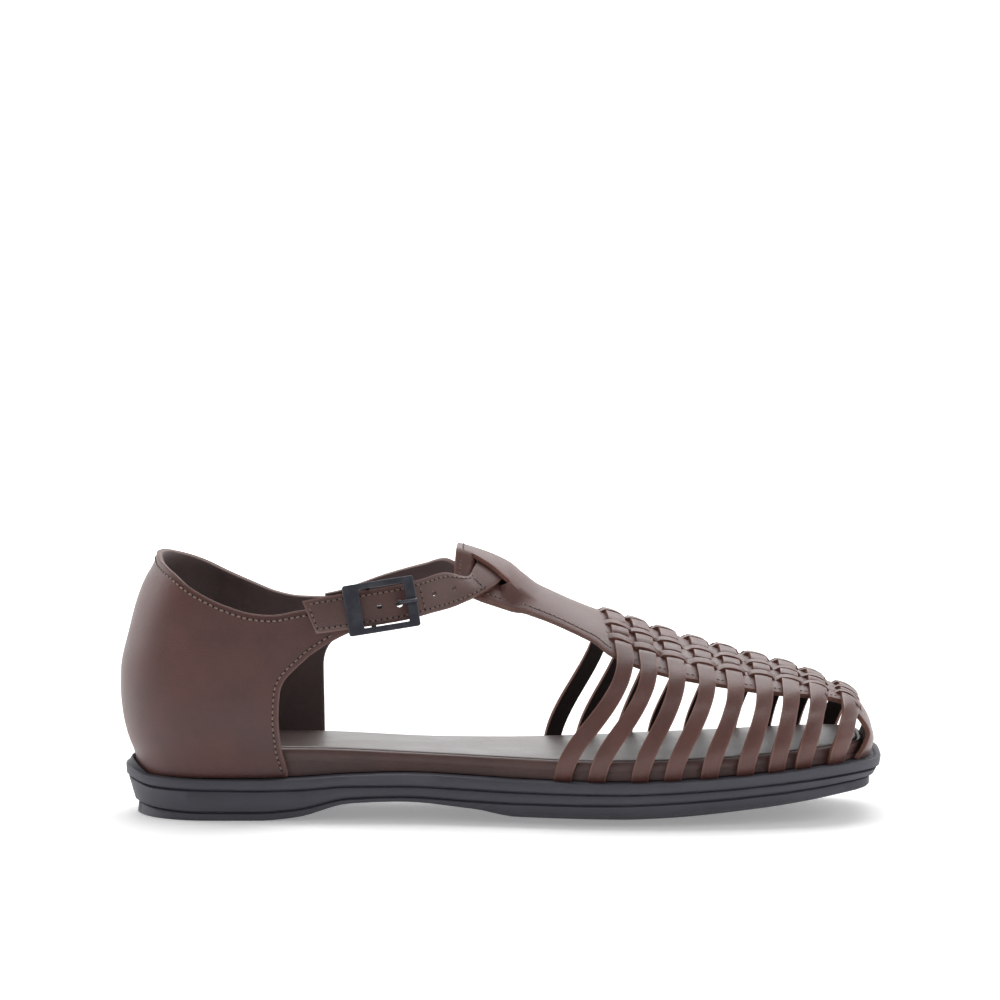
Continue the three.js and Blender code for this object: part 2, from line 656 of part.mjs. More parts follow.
// The vamp's leather from the T-bar over the top and down the toe's front, as one wall. Its bands are
// divided by slits. Over a strip every second band rises, and between them the strip itself stands up.
const TOE_LEVELS = 5;
const RAMP = 0.9; // length of the slope beside a strip
const SLIT = 0.5; // plan width of the step at a slit
const TBAR_ROWS = 4;
const RELIEF = STRIP_THICKNESS - JOIN;
function vampSheet() {
  const reach = STRIP_WIDTH / 2 / LENGTH;
  const slope = RAMP / LENGTH;
  const marks = [];
  const first = STRIPS[0].top - reach - slope;
  for (let i = 0; i < TBAR_ROWS; i++) marks.push({ at: mix(HEAD_JOINED, first, i / TBAR_ROWS), up: 0 });
  for (const [index, strip] of STRIPS.entries())
    for (const shift of [-reach - slope, -reach, reach, reach + slope])
      marks.push({ at: strip.top + shift, up: Math.abs(shift) > reach ? 0 : 1, index });
  const columns = [];
  const step = SLIT / 2 / bandTotal;
  BANDS.forEach((_, number) => {
    const low = bandLines[number] + (number > 0 ? step : 0);
    const high = bandLines[number + 1] - (number < BANDS.length - 1 ? step : 0);
    columns.push({ number, line: low }, { number, line: high });
  });
  columns.splice(BANDS.length, 0, { number: MIDDLE_BAND, line: 0.5 });
  const across = (at, j) =>
    mix(edgeOf.lateral(at), edgeOf.medial(at), columns[j].line) * BALL_WIDTH;
  const last = marks.length - 1;
  const foot = sole.seat(1) + FIT;
  const point = (i, j) => {
    if (i <= last) {
      const at = aslant(marks[i].at, columns[j].line);
      const y = across(at, j);
      const end = foremost(y, foot + LAST_WALL) - TUCK - (last - i) * 0.05;
      return over(Math.min(place(at), end), y);
    }
    const top = point(last, j);
    const down = (i - last) / TOE_LEVELS;
    const y = mix(top.y, across(1, j), down);
    const z = mix(top.z, foot + STRIP_FOOT, down);
    return new THREE.Vector3(foremost(y, z), y, z);
  };
  // A slit shows as a thin line beside each raised band, so the strips between them stand a little lower.
  const rise = (i, j) => {
    if (i > last) return 0;
    const high = bandIsOver(columns[j].number) ? RELIEF : RELIEF - LOWER;
    return marks[i].up * high;
  };
  return slab(
    marks.length + TOE_LEVELS,
    columns.length,
    (i, j) => skew(point(i, j)),
    () => 0,
    (i, j) => VAMP_THICKNESS + rise(i, j),
  );
}

// The free part of one cross strip, from the seat up the side of the last and onto the vamp's edge band.
const FREE_STEPS = 6;
function freeStrip(index, side) {
  const row = STRIPS[index];
  const line = side === "lateral" ? 0 : BANDS.length;
  const inner = side === "lateral" ? 1 : BANDS.length - 1;
  const at = aslant(row.top, bandLines[line]);
  const top = place(at);
  const base = place(row.base + (side === "medial" ? row.farBase : 0));
  const [edge, next] = [bandLine(at, line), bandLine(at, inner)];
  const rim = over(top, edge).z - section(top).foot;
  const above = RELIEF - LOWER - JOIN / 2;
  const stops = [];
  for (let i = 0; i < FREE_STEPS; i++) {
    const up = i / FREE_STEPS;
    const rise = mix(STRIP_FOOT, rim, up);
    stops.push({ rise, x: mix(base, top, Math.pow(up, 0.85)), lift: above * clamp(up * 2.5 - 1.4) });
  }
  for (const way of [0.05, 0.3, 0.7]) {
    const x = place(aslant(row.top, mix(bandLines[line], bandLines[inner], way)));
    stops.push({ y: mix(edge, next, way), x, lift: above });
  }
  const on = (stop, x) => (stop.y === undefined ? flank(x, side, stop.rise) : over(x, stop.y));
  const middle = stops.map((stop) => on(stop, stop.x));
  const point = (i, j) => {
    const before = middle[Math.max(0, i - 1)];
    const run = middle[Math.min(stops.length - 1, i + 1)].clone().sub(before);
    const wide = (STRIP_WIDTH * run.length()) / Math.hypot(run.y, run.z);
    return skew(on(stops[i], stops[i].x + (j - 0.5) * Math.min(wide, STRIP_WIDTH * 1.35)));
  };
  const sign = side === "lateral" ? -1 : 1;
  const low = (i) => sign * (stops[i].lift + (STRIP_THICKNESS * (1 - sign)) / 2);
  const high = (i) => sign * (stops[i].lift + (STRIP_THICKNESS * (1 + sign)) / 2);
  return slab(stops.length, 2, point, low, high);
}

// The T-bar's head: three runs of leather side by side, the middle one lifted between the slits.
const slit = {
  lateral: track(HEAD, "lateral"),
  medial: track(HEAD, "medial"),
  lift: track(HEAD, "lift"),
};
const strapRoom = STRAP_THICKNESS + STRAP_CLEAR + STRAP_HEADROOM + VAMP_THICKNESS - HEAD_DIP;
const headDip = (at) => -HEAD_DIP * clamp((HEAD_JOINED - at) / (HEAD_JOINED - HEAD_SLIT_END));
const HEAD_ROWS = 14;
const HEAD_LAP = 0.004; // how far the head's runs lap the sheet, as a share of the length
function tBarHead() {
  const at = (i) => mix(VAMP_EDGES[0].at, HEAD_JOINED + HEAD_LAP, i / (HEAD_ROWS - 1));
  const lines = (u) =>
    [edgeOf.lateral(u), slit.lateral(u), slit.medial(u), edgeOf.medial(u)].map((y) => y * BALL_WIDTH);
  const rise = (u, part) => {
    const lift = slit.lift(u);
    return part === 1 && lift > 0 ? Math.max(lift * strapRoom, headDip(u)) : headDip(u);
  };
  const runs = [3, 4, 3].map((columns, part) => {
    const point = (i, j) => {
      const edges = lines(at(i));
      const low = edges[part] - (part > 0 ? JOIN / 2 : 0);
      const high = edges[part + 1] + (part < 2 ? JOIN / 2 : 0);
      return over(place(at(i)), mix(low, high, j / (columns - 1)));
    };
    const inner = (i) => rise(at(i), part);
    return slab(HEAD_ROWS, columns, point, inner, (i) => inner(i) + VAMP_THICKNESS);
  });
  return runs[0].add(runs[1]).add(runs[2]);
}

// The whole vamp: T-bar, bands and strips as one wall.
function wovenVamp() {
  let made = tBarHead().add(vampSheet());
  for (let index = 0; index < STRIPS.length; index++)
    for (const side of ["lateral", "medial"]) made = made.add(freeStrip(index, side));
  return made;
}

const counterBack = track(COUNTER, "back");
const counterHalf = track(COUNTER, "half");
const collar = { lateral: track(COLLAR_LATERAL, "top"), medial: track(COLLAR_MEDIAL, "top") };
const front = { lateral: track(FRONT_LATERAL, "x"), medial: track(FRONT_MEDIAL, "x") };

// A point of the counter's outer face, drawn in by depth: way runs from the back (0) to a front edge (1).
const BACK_WAY = 0.55; // share of the way round the heel's back
const FRONT_DRAW = 0.03; // how far the sides draw in towards their front edge
function counterPoint(way, side, z, depth) {
  const at = z / COLLAR_HEIGHT;
  const back = -LENGTH / 2 - counterBack(at) * LENGTH + depth;
  const centre = -LENGTH / 2 + HEEL_ROUND;
  const wide = counterHalf(at) * HEEL_WIDTH - depth;
  const sign = side === "lateral" ? -1 : 1;
  if (way <= BACK_WAY) {
    const turn = ((way / BACK_WAY) * Math.PI) / 2;
    const x = centre - (centre - back) * Math.pow(Math.cos(turn), 2 / HEEL_POWER);
    return new THREE.Vector3(x, sign * wide * Math.pow(Math.sin(turn), 2 / HEEL_POWER), z);
  }
  const on = (way - BACK_WAY) / (1 - BACK_WAY);
  const x = mix(centre, place(front[side](at)), on);
  const draw = 1 - FRONT_DRAW * clamp((x - centre) / (LENGTH * 0.25));
  return new THREE.Vector3(x, sign * wide * draw, z);
}

// Height of the collar line at a way round the counter.
function collarHeight(way, side) {
  let z = COLLAR_HEIGHT * 0.85;
  for (let i = 0; i < 12; i++) {
    const x = counterPoint(way, side, z, 0).x;
    z = mix(z, collar[side](share(x)) * COLLAR_HEIGHT, 0.7);
  }
  return z;
}

// The heel counter: one wall from the lateral front edge round the heel to the medial one.
function heelCounter() {
  const levels = 13;
  const around = 14;
  const rows = 2 * around + 1;
  const ways = Array.from({ length: rows }, (_, i) => {
    const side = i < around ? "lateral" : "medial";
    return { side, way: Math.abs(i - around) / around };
  });
  const tops = ways.map(({ way, side }) => collarHeight(way, side));
  const face = (depth) =>
    ways.map(({ way, side }, i) =>
      Array.from({ length: levels }, (_, j) => {
        const low = counterPoint(way, side, SOLE_THICKNESS, 0);
        const foot = sole.seat(clamp(share(low.x))) + FIT;
        return counterPoint(way, side, mix(foot, tops[i], j / (levels - 1)), depth);
      }),
    );
  const points = [...face(0).flat(), ...face(COUNTER_WALL).flat()];
  const outer = (i, j) => i * levels + j;
  const inner = (i, j) => rows * levels + outer(i, j);
  const faces = [];
  const quad = (a, b, c, d) => faces.push([a, b, c], [a, c, d]);
  for (let i = 0; i + 1 < rows; i++) {
    for (let j = 0; j + 1 < levels; j++) {
      quad(outer(i, j), outer(i, j + 1), outer(i + 1, j + 1), outer(i + 1, j));
      quad(inner(i, j), inner(i + 1, j), inner(i + 1, j + 1), inner(i, j + 1));
    }
    const top = levels - 1;
    quad(outer(i, 0), outer(i + 1, 0), inner(i + 1, 0), inner(i, 0));
    quad(outer(i + 1, top), outer(i, top), inner(i, top), inner(i + 1, top));
  }
  for (let j = 0; j + 1 < levels; j++) {
    const last = rows - 1;
    quad(outer(0, j + 1), outer(0, j), inner(0, j), inner(0, j + 1));
    quad(outer(last, j), outer(last, j + 1), inner(last, j + 1), inner(last, j));
  }
  return solid(geometry(points, faces));
}

// The strap's middle line and its two edges, row by row, from the lateral tail end over the T-bar to the
// medial quarter. Every row lies on the counter's or the last's own surface.
function strapRows() {
  const onCounter = (row, side) => {
    const x = place(row.at);
    const lean = radians(row.lean);
    const narrowing = 1 - FRONT_DRAW * clamp((x + LENGTH / 2 - HEEL_ROUND) / (LENGTH * 0.25));
    return [-1, 0, 1].map((j) => {
      const reach = (j * STRAP_WIDTH) / 2;
      const z = row.rise * COLLAR_HEIGHT - Math.cos(lean) * reach;
      const wall = counterHalf(z / COLLAR_HEIGHT) * HEEL_WIDTH * narrowing;
      const away = wall + STRAP_GAP + STRAP_THICKNESS / 2 - row.draw * HEEL_WIDTH;
      return new THREE.Vector3(x + Math.sin(lean) * reach, side === "lateral" ? -away : away, z);
    });
  };
  const onHead = (row) => {
    const x = place(row.at);
    const y = row.across * BALL_WIDTH;
    const lift = VAMP_THICKNESS - HEAD_DIP + STRAP_CLEAR + STRAP_THICKNESS / 2;
    return [-1, 0, 1].map((j) => {
      const reach = (j * STRAP_WIDTH) / 2;
      const [px, py] = [x + row.forward * reach, y + row.aside * reach];
      const p = over(px, py);
      const along = over(px + 0.5, py).sub(p);
      const aside = over(px, py + 0.5).sub(p);
      return p.addScaledVector(along.cross(aside).normalize(), lift);
    });
  };
  return [
    ...STRAP_LATERAL.map((row) => onCounter(row, "lateral")),
    ...STRAP_HEAD.map(onHead),
    ...STRAP_MEDIAL.map((row) => onCounter(row, "medial")),
  ];
}

const strapLines = [0, 1, 2].map(
  (j) => new THREE.CatmullRomCurve3(strapRows().map((row) => row[j]), false, "centripetal"),
);

// The strap's own frame at a parameter: its place, and the directions along, across and out.
function strapFrame(t) {
  const at = strapLines[1].getPoint(t);
  const along = strapLines[1].getTangent(t).normalize();
  const across = strapLines[0].getPoint(t).sub(strapLines[2].getPoint(t)).normalize();
  const out = along.clone().cross(across).normalize();
  const up = out.clone().cross(along).normalize();
  return { at, along, up, out };
}

// The parameter at which the strap's lateral run reaches x.
function strapAt(x) {
  let low = 0;
  let high = 0.55;
  for (let i = 0; i < 30; i++) {
    const middle = (low + high) / 2;
    if (strapLines[1].getPoint(middle).x < x) low = middle;
    else high = middle;
  }
  return low;
}

const buckleFrame = strapFrame(strapAt(place(BUCKLE_AT)));

// A point in the buckle's own frame: along, up and out from the strap's middle there.
function onBuckle(along, up, out) {
  return buckleFrame.at
    .clone()
    .addScaledVector(buckleFrame.along, along)
    .addScaledVector(buckleFrame.up, up)
    .addScaledVector(buckleFrame.out, out);
}

// Puts a geometry that was made in the buckle's frame where the buckle is.
function toBuckle(shape) {
  const { at, along, up, out } = buckleFrame;
  return shape.applyMatrix4(new THREE.Matrix4().makeBasis(along, up, out).setPosition(at));
}

// A pin through the strap, used to cut a hole.
function punch(middle, out, diameter) {
  const pin = new THREE.CylinderGeometry(diameter / 2, diameter / 2, STRAP_THICKNESS * 4, 12);
  const turn = new THREE.Quaternion().setFromUnitVectors(new THREE.Vector3(0, 1, 0), out);
  pin.applyQuaternion(turn);
  pin.translate(middle.x, middle.y, middle.z);
  return solid(pin);
}

// The ankle strap with its punched holes.
const STRAP_STEPS = 42;
function ankleStrap() {
  let made = slab(
    STRAP_STEPS + 1,
    3,
    (i, j) => strapLines[j].getPoint(i / STRAP_STEPS),
    () => -STRAP_THICKNESS / 2,
    () => STRAP_THICKNESS / 2,
  );
  const hole = onBuckle(PRONG_HOLE_PLACE, 0, 0);
  made = made.subtract(punch(hole, buckleFrame.out, PRONG_HOLE));
  for (let i = -1; i < HOLE_COUNT; i++) {
    if (i === 0) continue;
    const x = hole.x + (i * HOLE_PITCH + (i > 0 ? 5 : 0)) * 0.93;
    const frame = strapFrame(strapAt(x));
    made = made.subtract(punch(frame.at, frame.out, STRAP_HOLE));
  }
  return made;
}

// The buckle: a flat frame over the strap, with a hinge bar under the strap between its rails.
function buckle() {
  const outline = new THREE.Shape();
  const [l, h] = [BUCKLE_LENGTH / 2, BUCKLE_HEIGHT / 2];
  outline.moveTo(-l, -h).lineTo(l, -h).lineTo(l, h).lineTo(-l, h).closePath();
  const window = new THREE.Path();
  const [left, right, rail] = [-l + BUCKLE_PLATE, l - BUCKLE_BAR, h - BUCKLE_RAIL];
  window.moveTo(left, -rail).lineTo(left, rail).lineTo(right, rail).lineTo(right, -rail).closePath();
  outline.holes.push(window);
  const bottom = STRAP_THICKNESS / 2 + BUCKLE_CLEAR;
  const plate = new THREE.ExtrudeGeometry(outline, { depth: BUCKLE_DEPTH, bevelEnabled: false });
  plate.translate(0, 0, bottom);
  let made = solid(toBuckle(plate));
  const hinge = -STRAP_THICKNESS / 2 - HINGE_CLEAR - HINGE_RADIUS;
  const bar = new THREE.CylinderGeometry(HINGE_RADIUS, HINGE_RADIUS, 2 * rail + BUCKLE_RAIL, 10);
  bar.translate(HINGE_PLACE, 0, hinge);
  made = made.add(solid(toBuckle(bar)));
  for (const sign of [-1, 1]) {
    const post = new THREE.BoxGeometry(2 * HINGE_RADIUS, BUCKLE_RAIL, bottom + BUCKLE_DEPTH / 2 - hinge);
    post.translate(HINGE_PLACE, sign * (h - BUCKLE_RAIL / 2), (bottom + BUCKLE_DEPTH / 2 + hinge) / 2);
    made = made.add(solid(toBuckle(post)));
  }
  return made;
}

// The prong: from the hinge bar under the strap, up through its hole and onto the front bar.
function prong() {
  const hinge = -STRAP_THICKNESS / 2 - HINGE_CLEAR - HINGE_RADIUS;
  const rest = STRAP_THICKNESS / 2 + BUCKLE_CLEAR + BUCKLE_DEPTH + FIT + PRONG_THICKNESS / 2;
  const bends = [
    { along: HINGE_PLACE + HINGE_RADIUS + FIT, out: hinge },
    { along: PRONG_HOLE_PLACE - 1.5, out: hinge },
    { along: PRONG_HOLE_PLACE + 0.9, out: rest - 0.5 },
    { along: BUCKLE_LENGTH / 2 - BUCKLE_BAR + 1, out: rest + 0.2 },
    { along: BUCKLE_LENGTH / 2 - 0.2, out: rest },
  ];
  const half = PRONG_WIDTH / 2;
  const point = (i, j) => onBuckle(bends[i].along, mix(-half, half, j), bends[i].out);
  const thick = () => PRONG_THICKNESS / 2;
  return slab(bends.length, 2, point, () => -thick(), thick);
}

// Names, makers and colours of the pieces.
const PIECES = [
  { name: "outsole", make: outsole, color: 0x2b2b2e, roughness: 0.7, metalness: 0 },
  { name: "insole_board", make: insoleBoard, color: 0x4a2e27, roughness: 0.55, metalness: 0 },
  { name: "insole_sock", make: insoleSock, color: 0x5b4239, roughness: 0.45, metalness: 0 },
  { name: "heel_counter", make: heelCounter, color: 0x4b3130, roughness: 0.45, metalness: 0 },
  { name: "woven_vamp", make: wovenVamp, color: 0x5f4038, roughness: 0.5, metalness: 0 },
  { name: "ankle_strap", make: ankleStrap, color: 0x57403b, roughness: 0.5, metalness: 0 },
  { name: "buckle_frame", make: buckle, color: 0x33363c, roughness: 0.4, metalness: 0.9 },
  { name: "buckle_prong", make: prong, color: 0x33363c, roughness: 0.4, metalness: 0.9 },
];

const sandal = new THREE.Group();
for (const { name, make, ...finish } of PIECES) {
  const made = make().getMesh();
  const shape = new THREE.BufferGeometry();
  shape.setAttribute("position", new THREE.BufferAttribute(made.vertProperties, made.numProp));
  shape.setIndex(new THREE.BufferAttribute(made.triVerts, 1));
  shape.computeVertexNormals();
  const mesh = new THREE.Mesh(shape, new THREE.MeshStandardMaterial(finish));
  mesh.name = name;
  sandal.add(mesh);
}

const box = new THREE.Box3().setFromObject(sandal);
const middle = box.getCenter(new THREE.Vector3());
sandal.position.set(-middle.x, -middle.y, -box.min.z);


export default sandal;
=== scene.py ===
"""Visual model of a closed-heel T-bar huarache sandal, a right shoe.

The shoe lies along X with its toe at +X, its medial side at +Y and its sole on Z = 0. All tables and
named sizes are in millimetres or in shares of them, and the same functions give the last, the sole and
the straps, so that every piece lies where its solid does. Points become metres only in a mesh.
"""

import logging
import math
from collections.abc import Callable, Sequence
from dataclasses import dataclass, field
from enum import Enum, IntEnum

import bmesh
import bpy
from mathutils import Matrix, Vector, noise


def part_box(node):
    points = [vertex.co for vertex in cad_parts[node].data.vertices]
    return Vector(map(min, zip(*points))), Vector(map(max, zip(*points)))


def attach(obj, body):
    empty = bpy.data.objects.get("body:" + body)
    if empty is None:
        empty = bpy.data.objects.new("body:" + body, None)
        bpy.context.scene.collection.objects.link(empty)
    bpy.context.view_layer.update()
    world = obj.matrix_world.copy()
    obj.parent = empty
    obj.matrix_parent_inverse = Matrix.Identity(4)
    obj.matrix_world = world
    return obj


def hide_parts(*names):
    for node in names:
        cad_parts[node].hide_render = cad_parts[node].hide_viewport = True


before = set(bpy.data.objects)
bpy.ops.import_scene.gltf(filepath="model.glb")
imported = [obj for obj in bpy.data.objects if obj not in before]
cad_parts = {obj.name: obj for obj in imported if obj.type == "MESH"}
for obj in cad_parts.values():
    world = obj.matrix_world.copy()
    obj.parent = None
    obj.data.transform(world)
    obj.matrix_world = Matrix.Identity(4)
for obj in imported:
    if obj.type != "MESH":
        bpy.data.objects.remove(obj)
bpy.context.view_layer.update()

log = logging.getLogger("sandal")

Grid = list[list[Vector]]
Path3 = tuple[list[Vector], list[Vector]]
Table = dict[str, tuple[float, ...]]
Mesh = bmesh.types.BMesh
Material = bpy.types.Material
Socket = bpy.types.NodeSocket
Thing = bpy.types.Object


class Side(IntEnum):
    """Sides of the shoe, with the sign of their Y."""

    LATERAL = -1
    MEDIAL = 1

    @property
    def column(self) -> str:
        """The side's column name in the tables."""
        return self.name.lower()


class Slot(Enum):
    """Material slots of the record."""

    RUBBER = "rubber"
    BOARD = "board_leather"
    SOCK = "sock_leather"
    COUNTER = "counter_leather"
    VAMP = "vamp_leather"
    STRAP = "strap_leather"
    GUNMETAL = "gunmetal"


@dataclass(frozen=True)
class Sizes:
    """Named sizes of the shoe in millimetres."""

    length: float = 258.0
    ball_width: float = 94.0
    heel_width: float = 62.0
    sole: float = 15.0
    insole: float = 25.0
    instep: float = 90.0
    collar: float = 89.0
    fit: float = 0.3
    heel_round: float = 31.0
    toe_square: float = 52.0
    heel_power: float = 2.1
    toe_power: float = 4.5
    toe_skew: float = 2.4
    vamp: float = 1.6
    last_inset: float = 3.6
    last_wall: float = 7.5
    last_wall_share: float = 0.6
    tuck: float = 2.0
    tuck_height: float = 9.0
    ridge_share: float = 0.1
    strap_width: float = 11.6
    strap: float = 1.8
    strap_clear: float = 0.5
    strap_headroom: float = 0.3
    head_dip: float = 1.2


SIZE = Sizes()

# Half widths of the sole's plan as shares of the ball width.
PLAN: Table = {
    "at": (0.1, 0.25, 0.38, 0.5, 0.62, 0.71, 0.8, 0.9, 1.0),
    "lateral": (0.33, 0.332, 0.345, 0.41, 0.485, 0.5, 0.475, 0.415, 0.345),
    "medial": (0.33, 0.322, 0.3, 0.335, 0.435, 0.49, 0.5, 0.455, 0.385),
}
# Heights of the sole's rim, seat, side foot and tread as shares of its thickness.
SOLE_SIDE: Table = {
    "at": (0.0, 0.04, 0.18, 0.23, 0.3, 0.37, 0.46, 0.52, 0.65, 0.71, 0.82, 0.91, 1.0),
    "edge": (1.14, 0.98, 0.95, 0.98, 1.06, 1.1, 1.06, 1.02, 1.0, 1.04, 1.15, 1.29, 1.38),
    "seat": (0.95, 0.95, 0.95, 0.98, 1.06, 1.1, 1.06, 1.02, 1.0, 1.04, 1.15, 1.29, 1.38),
    "side": (0.0, 0.0, 0.0, 0.08, 0.4, 0.45, 0.34, 0.28, 0.31, 0.36, 0.49, 0.61, 0.73),
    "tread": (0.0, 0.0, 0.0, 0.06, 0.36, 0.4, 0.2, 0.0, 0.0, 0.04, 0.2, 0.4, 0.6),
}
# Places of the two grooves as shares of the side's height below the rim.
GROOVES: Table = {
    "at": (0.0, 0.2, 0.36, 0.55, 1.0),
    "upper": (0.24, 0.26, 0.42, 0.35, 0.38),
    "lower": (0.78, 0.78, 0.8, 0.7, 0.7),
}
# One groove's section: shifts down the side and depths, as shares of the groove's height and depth.
GROOVE_SHAPE = ((-0.62, 0), (-0.48, 0.1), (-0.3, 0.85), (-0.1, 1), (0.15, 0.9), (0.4, 0.25), (0.62, 0))
# The edges of the board, rolled and with a crease below, and of the sock: mm down and mm drawn in.
BOARD_EDGE = (
    (0.0, 2.12), (-0.85, 2.0), (-1.12, 1.35), (-1.0, 0.75), (-0.62, 0.3), (0.0, 0.05), (0.9, 0.0),
    (2.3, 0.05), (2.75, 0.22), (3.2, 0.12),
)
SOCK_EDGE = ((0.0, 6.0), (0.0, 1.6), (0.05, 0.7), (0.3, 0.2), (0.75, 0.0), (1.2, 0.1))
# Top of the insole as a share of its height at the heel.
FOOTBED: Table = {
    "at": (0.0, 0.25, 0.42, 0.62, 0.8, 0.9, 1.0),
    "top": (1.0, 0.985, 0.92, 0.88, 0.93, 1.01, 1.08),
}
# The last's ridge as a share of the instep height, and how square its sections are.
RIDGE: Table = {
    "at": (
        0.43, 0.457, 0.477, 0.504, 0.552, 0.602, 0.662, 0.74,
        0.81, 0.876, 0.934, 0.955, 0.967, 0.979, 0.986,
    ),
    "top": (
        0.976, 0.952, 0.932, 0.898, 0.832, 0.768, 0.706, 0.634,
        0.578, 0.528, 0.464, 0.436, 0.405, 0.352, 0.295,
    ),
    "power": (1.7, 1.7, 1.7, 1.7, 1.7, 1.7, 1.7, 1.75, 1.8, 1.9, 2.0, 2.0, 2.0, 2.0, 2.0),
}
# The vamp leather's two edges in plan as shares of the ball width.
VAMP_EDGES: Table = {
    "at": (0.436, 0.48, 0.552, 0.616, 0.64, 0.68, 0.725, 0.79, 0.853, 0.903, 0.945, 0.967, 1.0),
    "lateral": (
        -0.135, -0.155, -0.163, -0.196, -0.236, -0.266, -0.281,
        -0.275, -0.262, -0.223, -0.17, -0.2, -0.25,
    ),
    "medial": (0.14, 0.14, 0.128, 0.152, 0.182, 0.205, 0.223, 0.223, 0.218, 0.195, 0.165, 0.19, 0.24),
}
# Widths of the nine bands between the slits, lateral to medial, in parts of the whole.
BANDS: tuple[float, ...] = (7.5, 3.0, 6.5, 3.0, 10.0, 3.0, 6.5, 3.0, 7.5)
# Where each cross strip meets the sole and where it crosses the vamp, as shares of the length.
STRIPS: Table = {
    "base": (0.578, 0.621, 0.676, 0.718, 0.765, 0.811, 0.852, 0.888, 0.933),
    "top": (0.657, 0.688, 0.724, 0.763, 0.8, 0.838, 0.873, 0.909, 0.952),
    "far_base": (-0.012, -0.012, -0.012, -0.011, -0.009, -0.005, 0.0, 0.0, 0.0),
    "far_top": (-0.024, -0.021, -0.018, -0.015, -0.012, -0.006, -0.001, 0.0, 0.0),
}
SLANT_START = 0.55
# The T-bar's head: its two slits and the lift of the leather between them.
HEAD: Table = {
    "at": (0.436, 0.446, 0.455, 0.48, 0.5, 0.518, 0.548, 0.625),
    "lateral": (-0.02, -0.022, -0.026, -0.055, -0.086, -0.1, -0.1, -0.1),
    "medial": (0.045, 0.05, 0.058, 0.085, 0.105, 0.112, 0.112, 0.1),
    "lift": (0.86, 0.93, 1.0, 1.0, 0.93, 0.5, 0.0, 0.0),
}
HEAD_SLIT_END = 0.511
HEAD_JOINED = 0.53
# The counter's back edge and half width against height.
COUNTER: Table = {
    "at": (0.15, 0.21, 0.3, 0.39, 0.47, 0.55, 0.7, 0.815, 0.89, 1.0),
    "back": (-0.013, -0.0125, -0.002, 0.0045, 0.0066, 0.006, -0.0048, -0.0155, -0.0256, -0.0434),
    "half": (0.452, 0.462, 0.498, 0.522, 0.53, 0.528, 0.518, 0.504, 0.482, 0.44),
}
COLLAR_LATERAL: Table = {
    "at": (0.041, 0.052, 0.072, 0.09, 0.108, 0.142, 0.176, 0.2, 0.237, 0.33),
    "top": (1.0, 0.975, 0.938, 0.897, 0.865, 0.819, 0.79, 0.784, 0.801, 0.84),
}
COLLAR_MEDIAL: Table = {
    "at": (0.041, 0.066, 0.095, 0.128, 0.162, 0.196, 0.225, 0.26, 0.33),
    "top": (1.0, 0.979, 0.946, 0.898, 0.853, 0.813, 0.797, 0.794, 0.835),
}
FRONT_LATERAL: Table = {
    "at": (0.16, 0.28, 0.39, 0.49, 0.53, 0.565, 0.6, 0.635, 0.66, 0.69, 0.725, 0.75, 0.86),
    "x": (0.221, 0.212, 0.209, 0.211, 0.2155, 0.225, 0.238, 0.251, 0.264, 0.281, 0.306, 0.319, 0.32),
}
FRONT_MEDIAL: Table = {
    "at": (0.16, 0.35, 0.53, 0.585, 0.63, 0.68, 0.72, 0.86),
    "x": (0.259, 0.258, 0.257, 0.261, 0.273, 0.29, 0.304, 0.308),
}
# The strap's rows beside the counter, over the T-bar's head, and down the medial side.
STRAP_LATERAL: Table = {
    "at": (0.25, 0.27, 0.295, 0.321, 0.347, 0.372, 0.4, 0.43),
    "rise": (0.778, 0.787, 0.798, 0.809, 0.82, 0.832, 0.85, 0.869),
    "lean": (24.0, 14.0, 10.0, 10.0, 11.0, 12.0, 14.0, 20.0),
    "draw": (0.0, 0.0, 0.0, 0.0, 0.008, 0.03, 0.09, 0.18),
}
STRAP_HEAD: Table = {
    "at": (0.462, 0.474, 0.481, 0.482, 0.478, 0.47, 0.458),
    "across": (-0.125, -0.085, -0.04, 0.01, 0.055, 0.095, 0.128),
    "forward": (0.42, 0.6, 0.76, 0.84, 0.8, 0.62, 0.45),
    "aside": (-0.32, -0.36, -0.26, -0.1, 0.15, 0.32, 0.36),
}
STRAP_MEDIAL: Table = {
    "at": (0.43, 0.4, 0.37, 0.34, 0.312, 0.285, 0.262),
    "rise": (0.893, 0.868, 0.841, 0.812, 0.781, 0.753, 0.738),
    "lean": (20.0, 14.0, 12.0, 12.0, 13.0, 11.0, 8.0),
    "draw": (0.22, 0.14, 0.07, 0.025, 0.0, 0.0, 0.0),
}
# The buckle's place as a share of the length.
BUCKLE_AT = 0.342
# Both ends of the line inside the shoe that leather faces away from, and its height.
CORE_ENDS = (-95.0, 100.0)
CORE_HEIGHT = 24.0
# Vertices nearer than this, in metres, are one.
MERGE = 1e-7
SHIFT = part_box("outsole")[0][0] * 1000 + SIZE.length / 2


def clamp(value: float, low: float = 0.0, high: float = 1.0) -> float:
    """Holds a value between two limits."""
    return min(high, max(low, value))


def mix(a: float, b: float, s: float) -> float:
    """Linear mix of two numbers."""
    return a + (b - a) * s


def smooth(value: float) -> float:
    """A smooth step from 0 to 1."""
    s = clamp(value)
    return s * s * (3 - 2 * s)


def rounded(value: float, power: float) -> float:
    """The height of a superellipse of radius 1 over a place on its axis."""
    return max(0.0, 1 - max(0.0, value) ** power) ** (1 / power)


def last_true(low: float, high: float, steps: int, holds: Callable[[float], bool]) -> float:
    """The last value up to which a test holds, found by halving.

    Args:
        low: Low limit, where the test holds.
        high: High limit.
        steps: How often the range is halved.
        holds: The test.

    Returns:
        The value.
    """
    for _ in range(steps):
        middle = (low + high) / 2
        if holds(middle):
            low = middle
        else:
            high = middle
    return low


def share(x: float) -> float:
    """A place in millimetres as a share of the length from the heel."""
    return x / SIZE.length + 0.5


